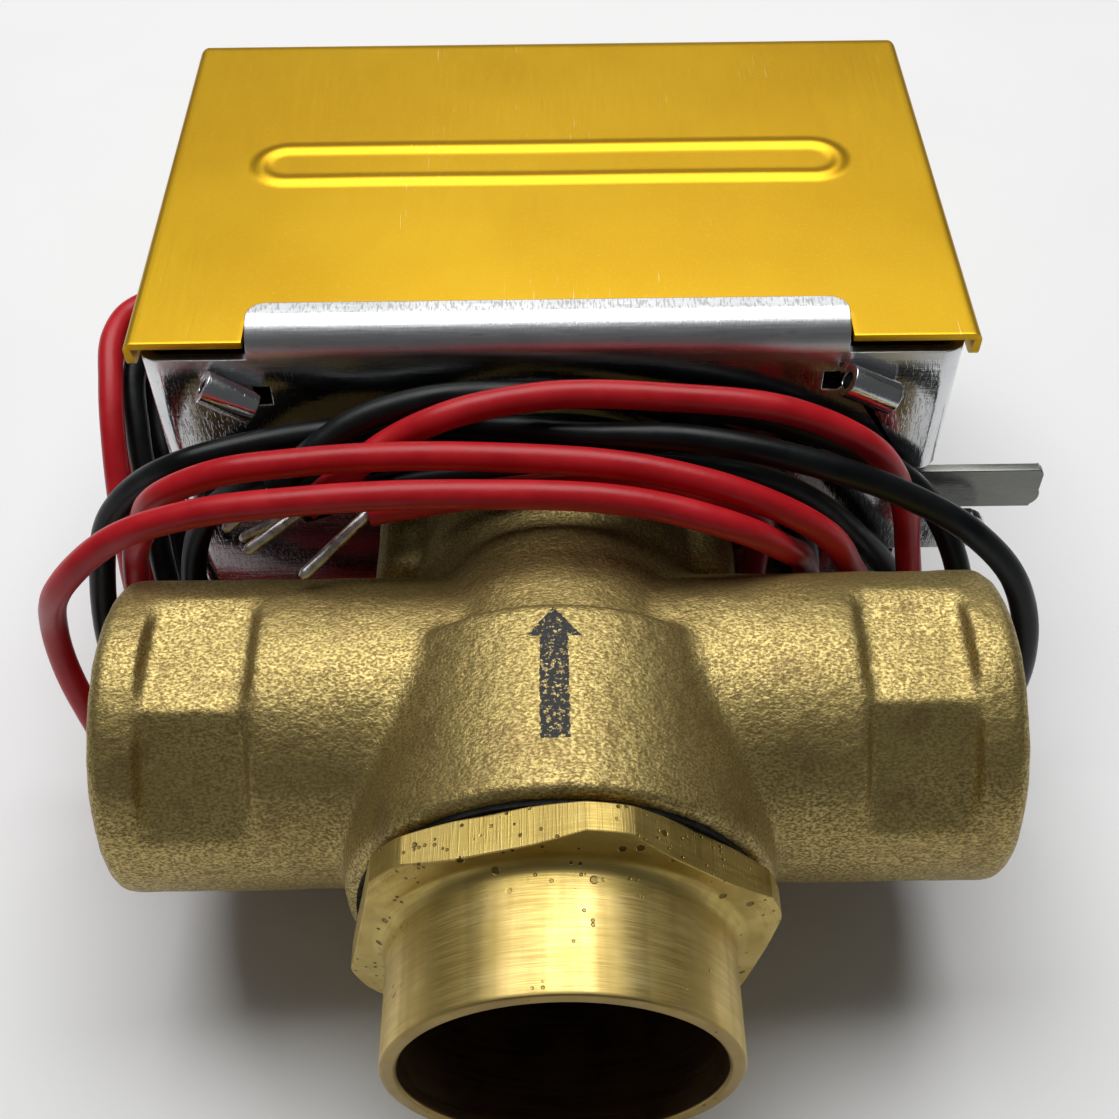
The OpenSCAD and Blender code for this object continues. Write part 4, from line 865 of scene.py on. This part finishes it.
def cover_columns():
    """Columns (x, inset) from the left rim's edge round the fold, over the face, to the right's."""
    half, bend = COVER_W / 2, SIDE_FOLD_R
    xs = list(np.linspace(bend - half, half - bend, by_speed(200)))
    for edge in (NOTCH_X - NOTCH_HALF, NOTCH_X + NOTCH_HALF):
        xs[min(range(len(xs)), key=lambda i: abs(xs[i] - edge))] = edge
    turn = np.linspace(0, math.pi / 2, 6)[:0:-1]
    left = [(-half, RIM - RIM_CORNER * (1 - math.sin(a))) for a in turn]
    left += [(-half + bend * (1 - math.sin(a)), bend * (1 - math.cos(a))) for a in turn]
    return left + [(x, 0.0) for x in xs] + [(-x, inset) for x, inset in reversed(left)]


def cover_surface():
    """Vertices, in millimetres, and faces of the cover's outer surface, without its thickness."""
    fine = by_speed(150)
    columns = cover_columns()
    outlines = {inset: cover_outline(inset, TOP_FOLD_R - 0.3 * inset, fine) for _, inset in columns}
    rows = len(outlines[0.0])
    notch_row = min(range(fine), key=lambda i: abs(outlines[0.0][i][0] - NOTCH_TOP))
    verts, faces = [], []
    for x, inset in columns:
        for row, (y, z) in enumerate(outlines[inset]):
            if row == notch_row and inset == 0.0:
                y = NOTCH_TOP
            if row < fine and inset == 0.0:
                z += bead_height(x, y)
            if z > FRONT_Z - 0.1:
                z += BOWED * noise.noise(Vector((x / 22, y / 26, 3)))
            verts.append((x, y, z))
    for c, (this, after) in enumerate(zip(columns, columns[1:])):
        beside_notch = abs((this[0] + after[0]) / 2 - NOTCH_X) >= NOTCH_HALF
        for row in range(0 if beside_notch else notch_row, rows - 1):
            a = c * rows + row
            faces.append((a, a + rows, a + rows + 1, a + 1))
    return verts, faces


def gold_cover():
    """One folded sheet: front, top and back with turned-in rims at both sides."""
    verts, faces = cover_surface()
    obj = linked("sheet", mesh_of("cover_sheet", [at(*v) for v in verts], faces))
    thick = obj.modifiers.new("thick", "SOLIDIFY")
    thick.thickness, thick.offset, thick.use_even_offset = COVER_T * MM, -1, True
    edge = obj.modifiers.new("edge", "BEVEL")
    edge.width, edge.segments, edge.limit_method = COVER_EDGE_R * MM, 2, "ANGLE"
    edge.angle_limit = math.radians(50)
    piece("cover_sheet", flattened(obj), "cover", LOOKS["gold_cover"], "gold_cover", "cover")


gold_cover()


# ---------------------------------------------------------------- chassis and lever
SHEET_EDGE_R = 0.12


def soft_copy(node_name, body, slot, material):
    mesh = softened_mesh(node_name, SHEET_EDGE_R * MM)
    piece(node_name + "_part", mesh, body, material, slot, node_name)


soft_copy("chassis", "body", "zinc_steel", CHASSIS_LOOK)
soft_copy("manual_lever", "shaft", "zinc_steel", LEVER_PAINTED_DARK_ZINC)


# ---------------------------------------------------------------- return spring
SPRING_X, SPRING_Y, SPRING_LOW, SPRING_HIGH = 32.0, 36.6, -3.2, 21.5
SPRING_COIL_R, SPRING_WIRE_R, HOOK_R, HOOK_REACH = 2.3, 0.3, 2.1, 4.2
COIL_TURNS, STEPS_PER_TURN, HOOK_GAP = 24, 20, 0.6


def spring_hook(centre_z, towards):
    """An open loop about the pin, in the plane of X and Z, from its opening round to the coil."""
    return [(SPRING_X + HOOK_R * math.sin(a), SPRING_Y, centre_z + towards * HOOK_R * math.cos(a))
            for a in (math.radians(330 - 15 * k) for k in range(0, 21))]


def return_spring():
    """A close-wound extension spring whose end hooks go round the post and the lever's pin."""
    low = SPRING_LOW + HOOK_REACH - HOOK_GAP
    high = SPRING_HIGH - HOOK_REACH + HOOK_GAP
    neck_x, steps = SPRING_X + HOOK_R * 0.3, COIL_TURNS * STEPS_PER_TURN
    points = spring_hook(SPRING_LOW, 1) + [(neck_x, SPRING_Y, SPRING_LOW + HOOK_R + HOOK_GAP)]
    for i in range(steps + 1):
        a = 2 * math.pi * i / STEPS_PER_TURN
        points.append((SPRING_X + SPRING_COIL_R * math.cos(a),
                       SPRING_Y + SPRING_COIL_R * math.sin(a), low + (high - low) * i / steps))
    points += [(neck_x, SPRING_Y, SPRING_HIGH - HOOK_R - HOOK_GAP)]
    points += spring_hook(SPRING_HIGH, -1)[::-1]
    mesh = tube_mesh("spring_coil", [at(*p) for p in points], SPRING_WIRE_R * MM, 8)
    obj = piece("spring_coil", mesh, None, LOOKS["spring_steel"], "spring_steel", "return_spring")
    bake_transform(obj)


return_spring()


# ---------------------------------------------------------------- the other CAD nodes
def finish_cad_nodes():
    """Gives each CAD node that still shows the material of its record slot."""
    for row in record["subparts"]:
        obj = nodes[row["node"]]
        obj.data.materials.clear()
        obj.data.materials.append(LOOKS[row["material_slot"]])


finish_cad_nodes()


# ---------------------------------------------------------------- floor and light
FLOOR_HALF = 2.0
SKY_COLOUR, SKY_STRENGTH = (0.95, 0.97, 1.0, 1), 0.09
# Name, place in the row frame, size and power in watts of each area light
LIGHTS = (
    ("key", (-0.04, 0.30, 0.72), (0.80, 0.50), 6.1),
    ("strip", (0, 0.64, 0.58), (0.40, 0.30), 0.35),
)


def floor():
    """A plain pale floor under the part."""
    low = cad_bounds[0][2]
    corners = [(x * FLOOR_HALF, y * FLOOR_HALF, low)
               for x, y in ((-1, -1), (1, -1), (1, 1), (-1, 1))]
    mesh = mesh_of("floor", corners, [(0, 1, 2, 3)])
    look = Look("floor")
    cloud = look.noise(0.05, 3)
    colour = look.blend(cloud, (0.93, 0.93, 0.93), (0.95, 0.95, 0.95))
    mesh.materials.append(look.finish(colour, look.ramp(cloud, 0.3, 0.7, 0.55, 0.65)))
    linked("floor", mesh)


def area_light(name, place, size, power):
    """A rectangle that lights the middle of the part."""
    data = bpy.data.lights.new(name, "AREA")
    data.shape, data.size, data.size_y, data.energy = "RECTANGLE", *size, power
    obj = linked(name, data)
    obj.location = place
    obj.rotation_euler = (at(0, 15, 0) - Vector(place)).to_track_quat("-Z", "Y").to_euler()


def sky():
    """A faint cool light from all sides, shown without a filmic curve."""
    world = bpy.data.worlds.new("studio")
    world.use_nodes = True
    background = world.node_tree.nodes["Background"]
    background.inputs["Color"].default_value = SKY_COLOUR
    background.inputs["Strength"].default_value = SKY_STRENGTH
    SCENE.world = world
    SCENE.view_settings.view_transform = "Standard"


floor()
sky()
for light in LIGHTS:
    area_light(*light)
